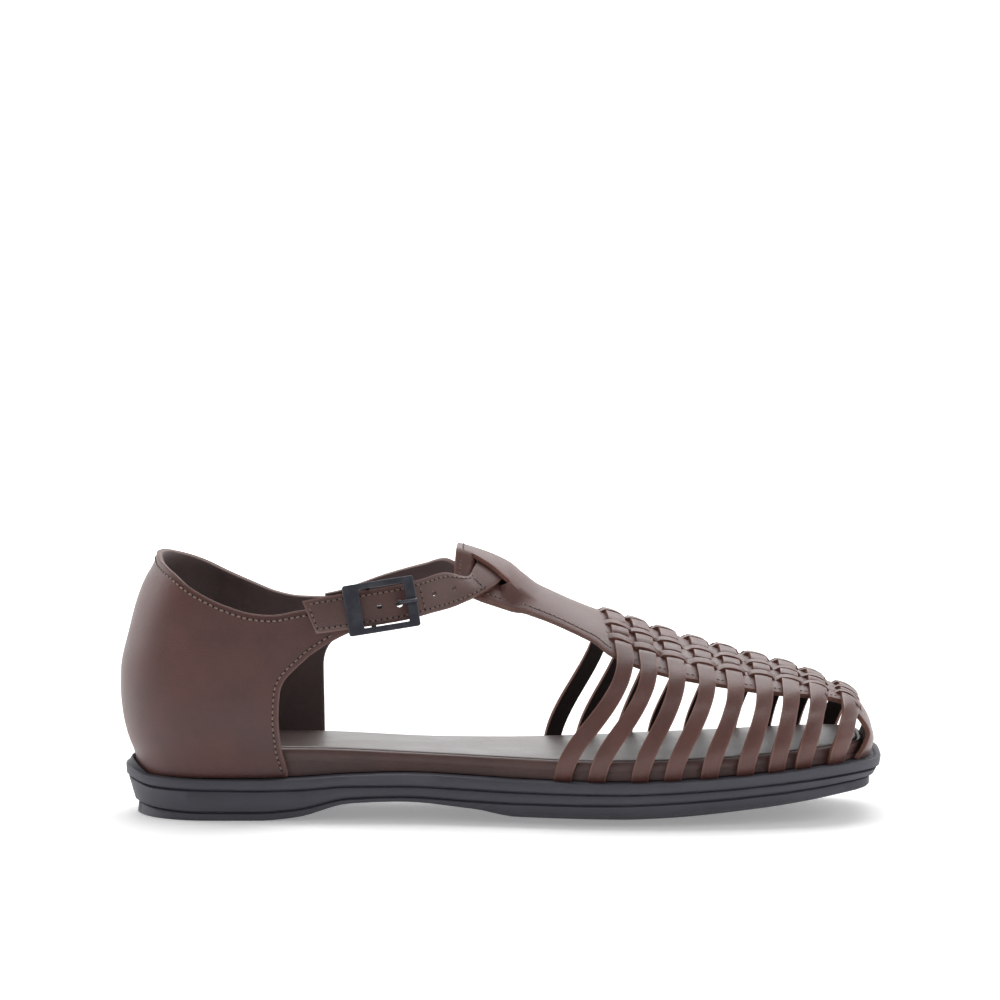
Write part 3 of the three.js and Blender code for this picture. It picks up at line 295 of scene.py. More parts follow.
def place(at: float) -> float:
    """A share of the length from the heel as a place in millimetres."""
    return (at - 0.5) * SIZE.length


def metres(p: Vector) -> Vector:
    """A point of the tables' frame in millimetres as a point of the part's frame in metres."""
    return Vector(((p.x + SHIFT) / 1000, p.y / 1000, p.z / 1000))


class Track:
    """A smooth curve through a table's column, with no overshoot, level beyond both ends."""

    def __init__(self, table: Table, column: str, scale: float = 1.0) -> None:
        """Fits the curve.

        Args:
            table: A table with a column of places called at.
            column: The column that the curve goes through.
            scale: What the column's values are multiplied by.
        """
        self.x = table["at"]
        self.y = [value * scale for value in table[column]]
        steps = [
            (b - a) / (q - p)
            for a, b, p, q in zip(self.y, self.y[1:], self.x, self.x[1:], strict=False)
        ]
        inner = [
            0.0 if a * b <= 0 else 2 * a * b / (a + b) for a, b in zip(steps, steps[1:], strict=False)
        ]
        self.slope = [0.0, *inner, 0.0]

    def __call__(self, at: float) -> float:
        """The curve's value.

        Args:
            at: A place on the table's axis.

        Returns:
            The value there, in the scaled column's units.
        """
        if at <= self.x[0]:
            return self.y[0]
        if at >= self.x[-1]:
            return self.y[-1]
        i = next(k for k, x in enumerate(self.x) if x > at) - 1
        span = self.x[i + 1] - self.x[i]
        s = (at - self.x[i]) / span
        rise = s * s * (3 - 2 * s)
        bend = s * (1 - s) * span * (self.slope[i] * (1 - s) - self.slope[i + 1] * s)
        return self.y[i] + (self.y[i + 1] - self.y[i]) * rise + bend


@dataclass(frozen=True)
class Section:
    """One section of the last: its ridge, foot, height, upright wall, squareness and half widths."""

    ridge: float
    foot: float
    height: float
    wall: float
    power: float
    lateral: float
    medial: float

    def half(self, y: float) -> float:
        """Half width on the side where y lies."""
        return self.lateral if y < self.ridge else self.medial


class Last:
    """The form that the shoe is built on: the sole's plan and the surface under the leather."""

    def __init__(self) -> None:
        """Fits the curves of the sole and of the ridge."""
        self.plan = {side: Track(PLAN, side.column, SIZE.ball_width) for side in Side}
        self.side = {key: Track(SOLE_SIDE, key, SIZE.sole) for key in ("edge", "seat", "side", "tread")}
        self.groove = {key: Track(GROOVES, key) for key in ("upper", "lower")}
        self.footbed = Track(FOOTBED, "top", SIZE.insole)
        self.ridge_top = Track(RIDGE, "top", SIZE.instep)
        self.ridge_power = Track(RIDGE, "power")
        self.back = -SIZE.length / 2 + SIZE.heel_round
        self.front = SIZE.length / 2 - SIZE.toe_square

    def half(self, x: float, side: Side, inset: float) -> float:
        """Half width of the plan on one side.

        Args:
            x: Place in millimetres.
            side: The shoe's side.
            inset: How far the plan is drawn in all round.

        Returns:
            The half width in millimetres, 0 beyond both ends.
        """
        width = self.plan[side](share(x)) - inset
        if x < self.back:
            return width * rounded(clamp((self.back - x) / (SIZE.heel_round - inset)), SIZE.heel_power)
        if x > self.front:
            return width * rounded(clamp((x - self.front) / (SIZE.toe_square - inset)), SIZE.toe_power)
        return width

    def skew(self, p: Vector) -> Vector:
        """Carries a point with the toe's skew."""
        into = clamp((share(p.x) - 0.8) / 0.2)
        return Vector((p.x + SIZE.toe_skew * into * into * p.y / (SIZE.ball_width / 2), p.y, p.z))

    def section(self, x: float, tuck: float = 0.0) -> Section:
        """The last's section at a place.

        Args:
            x: Place in millimetres.
            tuck: How far the section is drawn in.

        Returns:
            The section's sizes.
        """
        at = share(x)
        inset = SIZE.last_inset + tuck
        ridge = SIZE.ridge_share * self.half(x, Side.MEDIAL, SIZE.last_inset)
        foot = self.side["seat"](clamp(at)) + SIZE.fit
        height = max(1.0, self.ridge_top(at) - foot)
        return Section(
            ridge=ridge,
            foot=foot,
            height=height,
            wall=min(SIZE.last_wall, height * SIZE.last_wall_share),
            power=self.ridge_power(at),
            lateral=self.half(x, Side.LATERAL, inset) + ridge,
            medial=self.half(x, Side.MEDIAL, inset) - ridge,
        )

    @staticmethod
    def tuck(rise: float) -> float:
        """How far the last is drawn in at a height above the seat."""
        return SIZE.tuck * clamp(1 - rise / SIZE.tuck_height) ** 2

    def over(self, x: float, y: float) -> Vector:
        """The last's surface over a point of the plan.

        Args:
            x: Place along the shoe.
            y: Place across it.

        Returns:
            The surface point in millimetres.
        """
        s = self.section(x)
        out = clamp(abs(y - s.ridge) / max(s.half(y), 0.01))
        return Vector((x, y, s.foot + s.wall + (s.height - s.wall) * rounded(out, s.power)))

    def normal(self, x: float, y: float, step: float = 0.4) -> Vector:
        """The surface's normal over a point of the plan.

        Args:
            x: Place along the shoe.
            y: Place across it.
            step: Millimetres between the points that it is measured from.

        Returns:
            The unit normal.
        """
        p = self.over(x, y)
        along = self.over(x + step, y) - p
        beside = self.over(x, y + step) - p
        return along.cross(beside).normalized()

    def inside(self, x: float, y: float, z: float) -> bool:
        """Whether a point is inside the last.

        Args:
            x: Place along the shoe.
            y: Place across it.
            z: Height.

        Returns:
            True inside the surface.
        """
        foot = self.side["seat"](clamp(share(x))) + SIZE.fit
        tuck = self.tuck(z - foot)
        s = self.section(x, tuck)
        if x > SIZE.length / 2 - SIZE.last_inset - tuck or s.half(y) <= 0.01:
            return False
        out = abs(y - s.ridge) / s.half(y)
        up = max(0.0, (z - s.foot - s.wall) / (s.height - s.wall))
        return out**s.power + up**s.power < 1

    def foremost(self, y: float, z: float) -> float:
        """The foremost place of the last's surface at a place across and a height, in millimetres."""
        return last_true(SIZE.length / 4, SIZE.length / 2, 24, lambda x: self.inside(x, y, z))

    def flank(self, x: float, side: Side, rise: float) -> Vector:
        """A point down the side of the last.

        Args:
            x: Place along the shoe.
            side: The shoe's side.
            rise: Height above the seat.

        Returns:
            The surface point in millimetres.
        """
        s = self.section(x, self.tuck(rise))
        up = clamp((rise - s.wall) / (s.height - s.wall))
        half = s.lateral if side is Side.LATERAL else s.medial
        return Vector((x, s.ridge + side * rounded(up, s.power) * half, s.foot + rise))


LAST = Last()


def normals(points: Grid) -> Grid:
    """Unit normals of a grid of points, by differences along and across.

    Args:
        points: Rows of points.

    Returns:
        Rows of normals.
    """
    rows = len(points)
    columns = len(points[0])
    made: Grid = []
    for i in range(rows):
        made.append([])
        for j in range(columns):
            along = points[min(i + 1, rows - 1)][j] - points[max(i - 1, 0)][j]
            across = points[i][min(j + 1, columns - 1)] - points[i][max(j - 1, 0)]
            made[i].append(along.cross(across).normalized())
    return made


def core(p: Vector) -> Vector:
    """The place inside the shoe that a point's leather faces away from."""
    return Vector((clamp(p.x, *CORE_ENDS), 0.0, CORE_HEIGHT))


def outward(points: Grid) -> Grid:
    """Normals of a grid that all face away from the shoe's core.

    Args:
        points: Rows of points in millimetres.

    Returns:
        Rows of normals.
    """
    made = normals(points)
    total = sum(
        n.dot(p - core(p))
        for row, line in zip(points, made, strict=True)
        for p, n in zip(row, line, strict=True)
    )
    return made if total > 0 else [[-n for n in line] for line in made]


def lifted(points: Grid, lift: Callable[[int, int], float]) -> Grid:
    """A grid moved out along its normals.

    Args:
        points: Rows of points in millimetres.
        lift: Millimetres outwards for a row and a column.

    Returns:
        The moved rows.
    """
    out = outward(points)
    return [
        [p + out[i][j] * lift(i, j) for j, p in enumerate(row)] for i, row in enumerate(points)
    ]


def linear(red: int, green: int, blue: int) -> tuple[float, float, float, float]:
    """A display colour of 0 to 255 a channel as a linear colour."""
    shares = (channel / 255 for channel in (red, green, blue))
    return (*(c / 12.92 if c <= 10 / 255 else ((c + 0.055) / 1.055) ** 2.4 for c in shares), 1.0)


class Nodes:
    """A short way to write a material's node tree."""

    def __init__(self, name: str) -> None:
        """Starts a material.

        Args:
            name: The material's name.
        """
        self.material = bpy.data.materials.new(name)
        self.material.use_nodes = True
        self.tree = self.material.node_tree
        self.shader = self.tree.nodes["Principled BSDF"]
        coord = self.add("ShaderNodeTexCoord")
        self.object = coord.outputs["Object"]

    def add(self, kind: str, **values: object) -> bpy.types.Node:
        """Adds a node.

        Args:
            kind: The node's type name.
            values: Properties to set on it.

        Returns:
            The node.
        """
        node = self.tree.nodes.new(kind)
        for key, value in values.items():
            setattr(node, key, value)
        return node

    def put(self, socket: Socket, value: object) -> None:
        """Links a socket to another one, or gives it a constant.

        Args:
            socket: The input.
            value: An output socket, a number, or a display colour of 0 to 255 a channel.
        """
        if isinstance(value, Socket):
            self.tree.links.new(value, socket)
        elif isinstance(value, tuple):
            socket.default_value = linear(*value)
        else:
            socket.default_value = value

    def set(self, **values: object) -> None:
        """Sets inputs of the shader."""
        for key, value in values.items():
            self.put(self.shader.inputs[key.replace("_", " ")], value)

    def scaled(self, x: float, y: float, z: float) -> Socket:
        """Object coordinates, stretched.

        Args:
            x: Factor along X.
            y: Factor along Y.
            z: Factor along Z.

        Returns:
            The vector socket.
        """
        node = self.add("ShaderNodeMapping")
        self.put(node.inputs["Vector"], self.object)
        node.inputs["Scale"].default_value = (x, y, z)
        return node.outputs["Vector"]

    def noise(self, scale: float, detail: float = 4.0, rough: float = 0.55, vector: object = None) -> Socket:
        """A noise of so many waves in a metre, octaves and weight of the finer ones, about 0 to 1."""
        return self.texture(self.add("ShaderNodeTexNoise"), vector, "Fac", scale, detail, rough)

    def cells(self, scale: float, vector: object = None) -> Socket:
        """The distance to the nearest edge in a pattern of so many cells in a metre."""
        node = self.add("ShaderNodeTexVoronoi", feature="DISTANCE_TO_EDGE")
        return self.texture(node, vector, "Distance", scale)

    def wave(self, scale: float, distortion: float, direction: str) -> Socket:
        """Lines across an axis or DIAGONAL, about so many in a metre and wandering so far, 0 to 1."""
        node = self.add("ShaderNodeTexWave", bands_direction=direction)
        return self.texture(node, None, "Fac", scale, distortion)

    def texture(self, node: bpy.types.Node, vector: object, output: str, *values: float) -> Socket:
        """Gives a texture node its coordinates and its scale and the like.

        Args:
            node: The node.
            vector: Coordinates other than the object's own, or None.
            output: The output's name.
            values: Numbers for its inputs from Scale on.

        Returns:
            The output's socket.
        """
        self.put(node.inputs["Vector"], vector or self.object)
        start = node.inputs.find("Scale")
        for k, value in enumerate(values):
            node.inputs[start + k].default_value = value
        return node.outputs[output]

    def attribute(self, name: str) -> Socket:
        """A number stored on the mesh's vertices."""
        return self.add("ShaderNodeAttribute", attribute_name=name).outputs["Fac"]

    def fed(self, node: bpy.types.Node, *values: object) -> Socket:
        """Puts values into a node's first inputs.

        Args:
            node: The node.
            values: Sockets or numbers.

        Returns:
            The node's first output.
        """
        for socket, value in zip(node.inputs, values, strict=False):
            self.put(socket, value)
        return node.outputs[0]

    def span(self, value: object, low: float, high: float, to_low: float, to_high: float) -> Socket:
        """Maps a value from the range low to high to another one, and holds it there."""
        return self.fed(self.add("ShaderNodeMapRange"), value, low, high, to_low, to_high)

    def math(self, operation: str, a: object, b: object) -> Socket:
        """One step of arithmetic with two sockets or numbers."""
        return self.fed(self.add("ShaderNodeMath", operation=operation), a, b)

    def blend(self, factor: object, a: object, b: object) -> Socket:
        """A mix of two colours.

        Args:
            factor: 0 for the first, 1 for the second.
            a: First colour or socket.
            b: Second colour or socket.

        Returns:
            The mixed colour's socket.
        """
        node = self.add("ShaderNodeMix", data_type="RGBA")
        self.put(node.inputs["Factor"], factor)
        self.put(node.inputs[6], a)
        self.put(node.inputs[7], b)
        return node.outputs[2]

    def bump(
        self, height: object, metres_deep: float, strength: float = 1.0, normal: object = None
    ) -> object:
        """A bump of a real depth.

        Args:
            height: Socket of 0 to 1.
            metres_deep: Depth of the full height.
            strength: Share of the bump that shows.
            normal: Normal socket that it adds to.

        Returns:
            The normal's socket.
        """
        node = self.add("ShaderNodeBump")
        self.put(node.inputs["Height"], height)
        node.inputs["Distance"].default_value = metres_deep
        node.inputs["Strength"].default_value = strength
        if normal is not None:
            self.put(node.inputs["Normal"], normal)
        return node.outputs["Normal"]


@dataclass(frozen=True)
class LeatherFinish:
    """Smooth aniline leather: fine grain, pores, soft creases, mottled colour, and edges lightened partly by
    wear and partly by a painted highlight.
    """

    name: str
    base: tuple[int, int, int]
    dark: tuple[int, int, int]
    light: tuple[int, int, int]
    worn_and_highlight: tuple[int, int, int]
    roughness: float = 0.5
    grain: float = 0.75
    grain_depth: float = 0.03
    crease_depth: float = 0.22
    coat: float = 0.12
    wear_and_highlight: float = 0.55

    def build(self) -> Material:
        """Makes the material.

        Returns:
            The material with its node tree.
        """
        n = Nodes(self.name)
        grain = n.cells(1000 / self.grain, vector=n.scaled(1.0, 1.0, 0.8))
        fine = n.cells(1000 / (self.grain * 0.42))
        pores = n.noise(5200, 2)
        mottle = n.noise(42, 5, 0.6)
        broad = n.noise(13, 3)
        streak = n.noise(120, 4, 0.6, n.scaled(0.35, 1.0, 1.6))
        tone = n.blend(n.span(mottle, 0.36, 0.68, 0, 1), self.dark, self.base)
        tone = n.blend(n.span(broad, 0.42, 0.72, 0, 0.4), tone, self.light)
        tone = n.blend(n.span(grain, 0.0, 0.09, 0.32, 0), tone, self.dark)
        # Edges lighten towards a pale colour: partly wear, partly a painted edge highlight.
        rim = n.attribute("rim")
        edge = n.span(n.math("ADD", rim, n.span(mottle, 0.3, 0.7, -0.15, 0.2)), 0.05, 0.62, self.wear_and_highlight, 0)
        tone = n.blend(edge, tone, self.worn_and_highlight)
        rough = n.span(mottle, 0.3, 0.7, self.roughness - 0.06, self.roughness + 0.07)
        normal = n.bump(streak, self.crease_depth / 1000, 0.55)
        normal = n.bump(n.span(grain, 0, 0.25, 0, 1), self.grain_depth / 1000, 0.9, normal)
        normal = n.bump(n.span(fine, 0, 0.3, 0, 1), self.grain_depth / 2500, 0.8, normal)
        normal = n.bump(pores, 0.000006, 0.6, normal)
        n.set(Base_Color=tone, Roughness=rough, Normal=normal, Coat_Weight=self.coat, Coat_Roughness=0.42)
        n.set(Specular_IOR_Level=0.5, Sheen_Weight=0.06, Sheen_Roughness=0.5)
        return n.material


@dataclass(frozen=True)
class CutFinish:
    """The fibrous cut edge or flesh side of leather."""

    name: str
    base: tuple[int, int, int]
    dark: tuple[int, int, int]
    roughness: float = 0.82

    def build(self) -> Material:
        """Makes the material.

        Returns:
            The material with its node tree.
        """
        n = Nodes(self.name)
        fibre = n.noise(2600, 4, 0.7, n.scaled(0.5, 0.5, 1.6))
        patch = n.noise(210, 3)
        tone = n.blend(n.span(fibre, 0.3, 0.7, 0, 1), self.dark, self.base)
        tone = n.blend(n.span(patch, 0.45, 0.75, 0, 0.45), tone, self.dark)
        n.set(Base_Color=tone, Roughness=self.roughness, Normal=n.bump(fibre, 0.00006, 0.8))
        return n.material


@dataclass(frozen=True)
class RubberFinish:
    """Moulded rubber: fine speckle, faint mould lines, scuffs, edges lightened partly as scuffs and partly
    as a painted highlight, and tread ribs underneath.
    """

    name: str
    base: tuple[int, int, int]
    scuff_and_highlight: tuple[int, int, int]
    roughness: float = 0.6

    def build(self) -> Material:
        """Makes the material.

        Returns:
            The material with its node tree.
        """
        n = Nodes(self.name)
        speckle = n.noise(3800, 3, 0.6)
        cloud = n.noise(26, 5, 0.65)
        lines = n.noise(500, 3, 0.5, n.scaled(0.05, 0.05, 1.6))
        tone = n.blend(n.span(cloud, 0.5, 0.8, 0, 0.5), self.base, self.scuff_and_highlight)
        # Edges lighten with the rim weight: partly scuffs, partly a painted highlight.
        rim = n.attribute("rim")
        tone = n.blend(n.span(rim, 0.0, 1.0, 0, 0.35), tone, self.scuff_and_highlight)
        under = n.attribute("under")
        ribs = n.wave(62, 0.0, "X")
        chevron = n.math("MULTIPLY", n.span(ribs, 0.35, 0.6, 0, 1), under)
        normal = n.bump(chevron, 0.0011, 1.0)
        normal = n.bump(lines, 0.00005, 0.5, normal)
        normal = n.bump(speckle, 0.00002, 0.7, normal)
        rough = n.span(cloud, 0.3, 0.7, self.roughness - 0.05, self.roughness + 0.08)
        n.set(Base_Color=tone, Roughness=rough, Normal=normal, Specular_IOR_Level=0.45)
        return n.material


@dataclass(frozen=True)
class MetalFinish:
    """Gunmetal paint on cast metal: satin, with a fine brushed grain and brighter rubbed edges."""

    name: str
    base: tuple[int, int, int]
    rubbed: tuple[int, int, int]
    roughness: float = 0.4

    def build(self) -> Material:
        """Makes the material.

        Returns:
            The material with its node tree.
        """
        n = Nodes(self.name)
        grain = n.noise(2400, 3, 0.6, n.scaled(0.3, 1.0, 1.0))
        cloud = n.noise(160, 4, 0.6)
        edge = n.add("ShaderNodeNewGeometry").outputs["Pointiness"]
        tone = n.blend(n.span(cloud, 0.5, 0.75, 0, 0.35), self.base, self.rubbed)
        tone = n.blend(n.span(edge, 0.52, 0.62, 0, 0.6), tone, self.rubbed)
        rough = n.span(cloud, 0.3, 0.7, self.roughness - 0.06, self.roughness + 0.1)
        n.set(Base_Color=tone, Roughness=rough, Metallic=0.78, Normal=n.bump(grain, 0.000012, 0.7))
        n.set(Coat_Weight=0.2, Coat_Roughness=0.35)
        return n.material


@dataclass(frozen=True)
class ThreadFinish:
    """Twisted waxed thread."""

    name: str
    base: tuple[int, int, int]
    dark: tuple[int, int, int]

    def build(self) -> Material:
        """Makes the material.

        Returns:
            The material with its node tree.
        """
        n = Nodes(self.name)
        twist = n.wave(900, 1.5, "DIAGONAL")
        soil = n.noise(130, 4)
        tone = n.blend(n.span(twist, 0.2, 0.8, 0.75, 0), self.base, self.dark)
        tone = n.blend(n.span(soil, 0.5, 0.75, 0, 0.5), tone, self.dark)
        n.set(Base_Color=tone, Roughness=0.72, Normal=n.bump(twist, 0.00008, 0.9), Sheen_Weight=0.2)
        return n.material


@dataclass(frozen=True)
class PaleFinish:
    """The studio's pale floor and backdrop."""

    name: str
    base: tuple[int, int, int]
    near: float = 0.25
    far: float = 1.6
    near_glow: float = 0.26
    far_glow: float = 0.8

    def build(self) -> Material:
        """Makes the material.

        Returns:
            The material with its node tree.
        """
        n = Nodes(self.name)
        cloud = n.noise(1.5, 2)
        tone = n.blend(n.span(cloud, 0.3, 0.7, 0, 1), self.base, (252, 252, 252))
        away = n.add("ShaderNodeVectorMath", operation="LENGTH")
        n.put(away.inputs[0], n.object)
        strength = n.span(away.outputs["Value"], self.near, self.far, self.near_glow, self.far_glow)
        n.set(Base_Color=tone, Roughness=0.8, Specular_IOR_Level=0.15)
        n.set(Emission_Color=(255, 255, 255), Emission_Strength=strength)
        return n.material


class Palette:
    """All finishes of the shoe, made once."""

    def __init__(self) -> None:
        """Makes every finish."""
        # The fourth colour of each leather lightens its edges, partly as wear and partly as a painted
        # highlight.
        leathers = (
            LeatherFinish(
                "counter_grain", (88, 50, 45), (70, 39, 35), (102, 64, 58), (158, 122, 112), 0.44, wear_and_highlight=0.35
            ),
            LeatherFinish(
                "vamp_grain", (100, 66, 60), (80, 50, 46), (116, 82, 76), (156, 112, 101), 0.42, wear_and_highlight=0.38
            ),
            LeatherFinish(
                "strip_grain", (96, 58, 51), (72, 42, 37), (112, 74, 66), (158, 108, 94), 0.41, wear_and_highlight=0.46
            ),
            LeatherFinish(
                "strap_grain", (98, 68, 63), (76, 51, 47), (114, 84, 79), (154, 118, 108), 0.44, wear_and_highlight=0.34
            ),
            LeatherFinish(
                "board_grain", (88, 58, 53), (68, 44, 41), (104, 74, 69), (120, 92, 85), 0.36,
                grain=0.6, wear_and_highlight=0.0
            ),
            LeatherFinish(
                "sock_grain", (70, 52, 50), (52, 39, 38), (88, 68, 64), (104, 84, 79), 0.34,
                grain=0.55, crease_depth=0.3, coat=0.2, wear_and_highlight=0.2,
            ),
            LeatherFinish(
                "lining_grain", (88, 68, 67), (68, 52, 52), (104, 84, 82), (124, 98, 92), 0.6,
                wear_and_highlight=0.2, coat=0.0
            ),
        )
        others = (
            CutFinish("cut_edge", (140, 98, 86), (94, 62, 55)),
            CutFinish("folded_edge", (118, 86, 77), (84, 58, 53), 0.55),
            CutFinish("flesh_side", (58, 46, 46), (40, 32, 33)),
            CutFinish("needle_hole", (34, 24, 22), (20, 14, 14)),
            # The sole's second colour marks scuffs and lightens its edges, the edges partly as a painted
            # highlight.
            RubberFinish("sole_rubber", (60, 60, 68), (84, 84, 93)),
            MetalFinish("gunmetal_satin", (60, 61, 69), (104, 106, 114)),
            ThreadFinish("thread_pale", (158, 134, 121), (96, 74, 65)),
            ThreadFinish("thread_brown", (138, 112, 101), (88, 65, 57)),
        )
        self.made = {finish.name: finish.build() for finish in (*leathers, *others)}

    def several(self, *names: str) -> list[Material]:
        """The materials of several finishes by their names."""
        return [self.made[name] for name in names]

    def __getitem__(self, name: str) -> Material:
        """The material of a finish by its name."""
        return self.made[name]


def sheet(bm: Mesh, rows: int, columns: int) -> list[tuple[bmesh.types.BMVert, int, int]]:
    """Adds a plain grid of faces to be shaped.

    Args:
        bm: The mesh.
        rows: Faces along.
        columns: Faces across.

    Returns:
        Each vertex with its row and its column.
    """
    made = bmesh.ops.create_grid(bm, x_segments=columns, y_segments=rows, size=0.5)["verts"]
    low = min(v.co.x for v in made)
    wide = max(v.co.x for v in made) - low
    return [(v, round((v.co.y - low) / wide * rows), round((v.co.x - low) / wide * columns)) for v in made]


def add_grid(bm: Mesh, points: Grid, end_rims: bool = False) -> None:
    """Adds a grid of points, in millimetres, as one sheet whose faces look away from the shoe's core.

    Args:
        bm: The mesh, with a float vertex layer named rim.
        points: Rows of points.
        end_rims: Whether the first and last rows count as edges too.
    """
    rows = len(points) - 1
    columns = len(points[0]) - 1
    rim = bm.verts.layers.float["rim"]
    made = sheet(bm, rows, columns)
    gauge: list[list[float]] = []
    for line in points:
        runs = [0.0]
        for a, b in zip(line, line[1:], strict=False):
            runs.append(runs[-1] + (b - a).length)
        gauge.append([min(r, runs[-1] - r) for r in runs])
    faces = {face for v, _, _ in made for face in v.link_faces}
    for v, i, j in made:
        away = gauge[i][j]
        if end_rims:
            last = points[rows][j]
            away = min(away, (points[i][j] - points[0][j]).length, (points[i][j] - last).length)
        v.co = points[i][j]
        v[rim] = away
    facing = 0.0
    for face in faces:
        face.normal_update()
        centre = face.calc_center_median()
        facing += face.normal.dot(centre - core(centre)) * face.calc_area()
    if facing < 0:
        bmesh.ops.reverse_faces(bm, faces=list(faces))
    for v, _, _ in made:
        v.co = metres(v.co)


def new_mesh() -> Mesh:
    """An empty mesh with the layers that the materials read.

    Returns:
        The mesh.
    """
    bm = bmesh.new()
    bm.verts.layers.float.new("rim")
    bm.verts.layers.float.new("under")
    return bm


def make_object(name: str, bm: Mesh, materials: Sequence[Material], smooth: bool = True) -> Thing:
    """Turns a mesh into a linked object and frees it.

    Args:
        name: Name of the object and of its mesh.
        bm: The mesh.
        materials: Its materials.
        smooth: Whether its faces are shaded smooth.

    Returns:
        The object.
    """
    mesh = bpy.data.meshes.new(name)
    bm.to_mesh(mesh)
    bm.free()
    for face in mesh.polygons:
        face.use_smooth = smooth
    for material in materials:
        mesh.materials.append(material)
    return link(name, mesh)


def link(name: str, data: bpy.types.ID) -> Thing:
    """Makes an object from its data and links it to the scene.

    Args:
        name: The object's name.
        data: Its mesh, lamp or camera.

    Returns:
        The object.
    """
    made = bpy.data.objects.new(name, data)
    bpy.context.scene.collection.objects.link(made)
    return made


@dataclass
class Piece:
    """One piece of the shoe.

    Attributes:
        name: The object's name.
        slot: The record's material slot.
        materials: Materials for the mesh: its face, then for a thickened sheet its back and its rim.
        replaces: CAD nodes that the piece stands for.
    """

    name: str
    slot: Slot
    materials: Sequence[Material]
    replaces: Sequence[str] = ()

    def place(self, bm: Mesh, sharp: float = 40.0) -> Thing:
        """Turns a mesh in metres into the piece, on the shoe's body.

        Args:
            bm: The mesh, which is freed.
            sharp: Angle in degrees over which an edge looks sharp.

        Returns:
            The object.
        """
        bm.normal_update()
        made = make_object(self.name, bm, self.materials)
        made.data.set_sharp_from_angle(angle=math.radians(sharp))
        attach(made, "root")
        if self.replaces:
            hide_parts(*self.replaces)
        log.info("%s: %d faces", self.name, len(made.data.polygons))
        return made

    def thicken(self, made: Thing, thickness: float, offset: float, bevel: float) -> None:
        """Gives a sheet its thickness and rounds its edges.

        Args:
            made: The sheet.
            thickness: In millimetres.
            offset: 1 for outwards, -1 for inwards.
            bevel: Width of the rounded edge in millimetres.
        """
        wall = made.modifiers.new("wall", "SOLIDIFY")
        wall.thickness = thickness / 1000
        wall.offset = offset
        wall.use_even_offset = False
        wall.material_offset = min(1, len(self.materials) - 1)
        wall.material_offset_rim = min(2, len(self.materials) - 1)
        if bevel > 0:
            edge = made.modifiers.new("edge", "BEVEL")
            edge.width = bevel / 1000
            edge.segments = 2
            edge.limit_method = "ANGLE"
            edge.angle_limit = math.radians(50)
            edge.use_clamp_overlap = True


@dataclass(frozen=True)
class Seam:
    """A row of stitches along a path on a surface."""

    points: Sequence[Vector]
    out: Sequence[Vector]
    pitch: float = 1.95
    length: float = 1.45
    radius: float = 0.24
    holes: bool = True

    def stops(self) -> list[tuple[Vector, Vector, Vector]]:
        """Where the stitches go.

        Returns:
            Place, direction and outward normal of every stitch.
        """
        made = []
        walked = 0.0
        due = self.pitch / 2
        for i, (a, b) in enumerate(zip(self.points, self.points[1:], strict=False)):
            run = (b - a).length
            while run > 1e-6 and due <= walked + run:
                s = (due - walked) / run
                out = self.out[i].lerp(self.out[i + 1], s).normalized()
                made.append((a.lerp(b, s), (b - a).normalized(), out))
                due += self.pitch
            walked += run
        return made


@dataclass
class Stitcher:
    """Gathers stitches and their needle holes and makes one piece of each."""

    name: str
    slot: Slot
    thread: Material
    hole: Material
    seams: list[Seam] = field(default_factory=list)

    def sew(self, *seams: Seam) -> None:
        """Adds rows of stitches."""
        self.seams.extend(seams)

    @staticmethod
    def bead(
        bm: Mesh, at: Vector, along: Vector, out: Vector, size: Vector, detail: int
    ) -> None:
        """Adds one rounded grain with its long axis along the seam.

        Args:
            bm: The mesh.
            at: Its middle in millimetres.
            along: Direction of the seam.
            out: Outward normal.
            size: Half sizes along, across and out.
            detail: Faces round it.
        """
        across = out.cross(along).normalized()
        up = along.cross(across).normalized()
        turn = Matrix((along, across, up)).transposed().to_4x4()
        scale = Matrix.Diagonal((size.x, size.y, size.z, 1.0))
        where = Matrix.Translation(metres(at))
        milli = Matrix.Scale(0.001, 4)
        bmesh.ops.create_uvsphere(
            bm,
            u_segments=detail,
            v_segments=detail - 2,
            radius=1.0,
            matrix=where @ milli @ turn @ scale @ Matrix.Rotation(math.pi / 2, 4, "Y"),
        )

    def build(self) -> None:
        """Makes the two pieces."""
        threads = new_mesh()
        holes = new_mesh()
        for seam in self.seams:
            for number, (at, along, out) in enumerate(seam.stops()):
                tilt = 0.12 * math.sin(number * 2.4)
                across = out.cross(along).normalized()
                line = (along + across * tilt).normalized()
                size = Vector((seam.length / 2, seam.radius * 1.15, seam.radius))
                self.bead(threads, at + out * seam.radius * 0.25, line, out, size, 8)
                if seam.holes:
                    end = at + along * (seam.pitch / 2)
                    self.bead(holes, end, along, out, Vector((0.3, 0.34, 0.1)), 8)
        Piece(self.name, self.slot, [self.thread]).place(threads, 60)
        if any(seam.holes for seam in self.seams):
            Piece(self.name + "_holes", self.slot, [self.hole]).place(holes, 60)


@dataclass(frozen=True)
class Ring:
    """One closed ring of the sole's plan.

    Attributes:
        points: Points of both sides from the heel to the toe; the two sides meet at both ends.
        rim: Lightening of the ring's edge, 0 to 1, partly wear and partly a painted highlight.
        under: Whether the tread's ribs show on it, 0 to 1.
    """

    points: dict[Side, list[Vector]]
    rim: float
    under: float


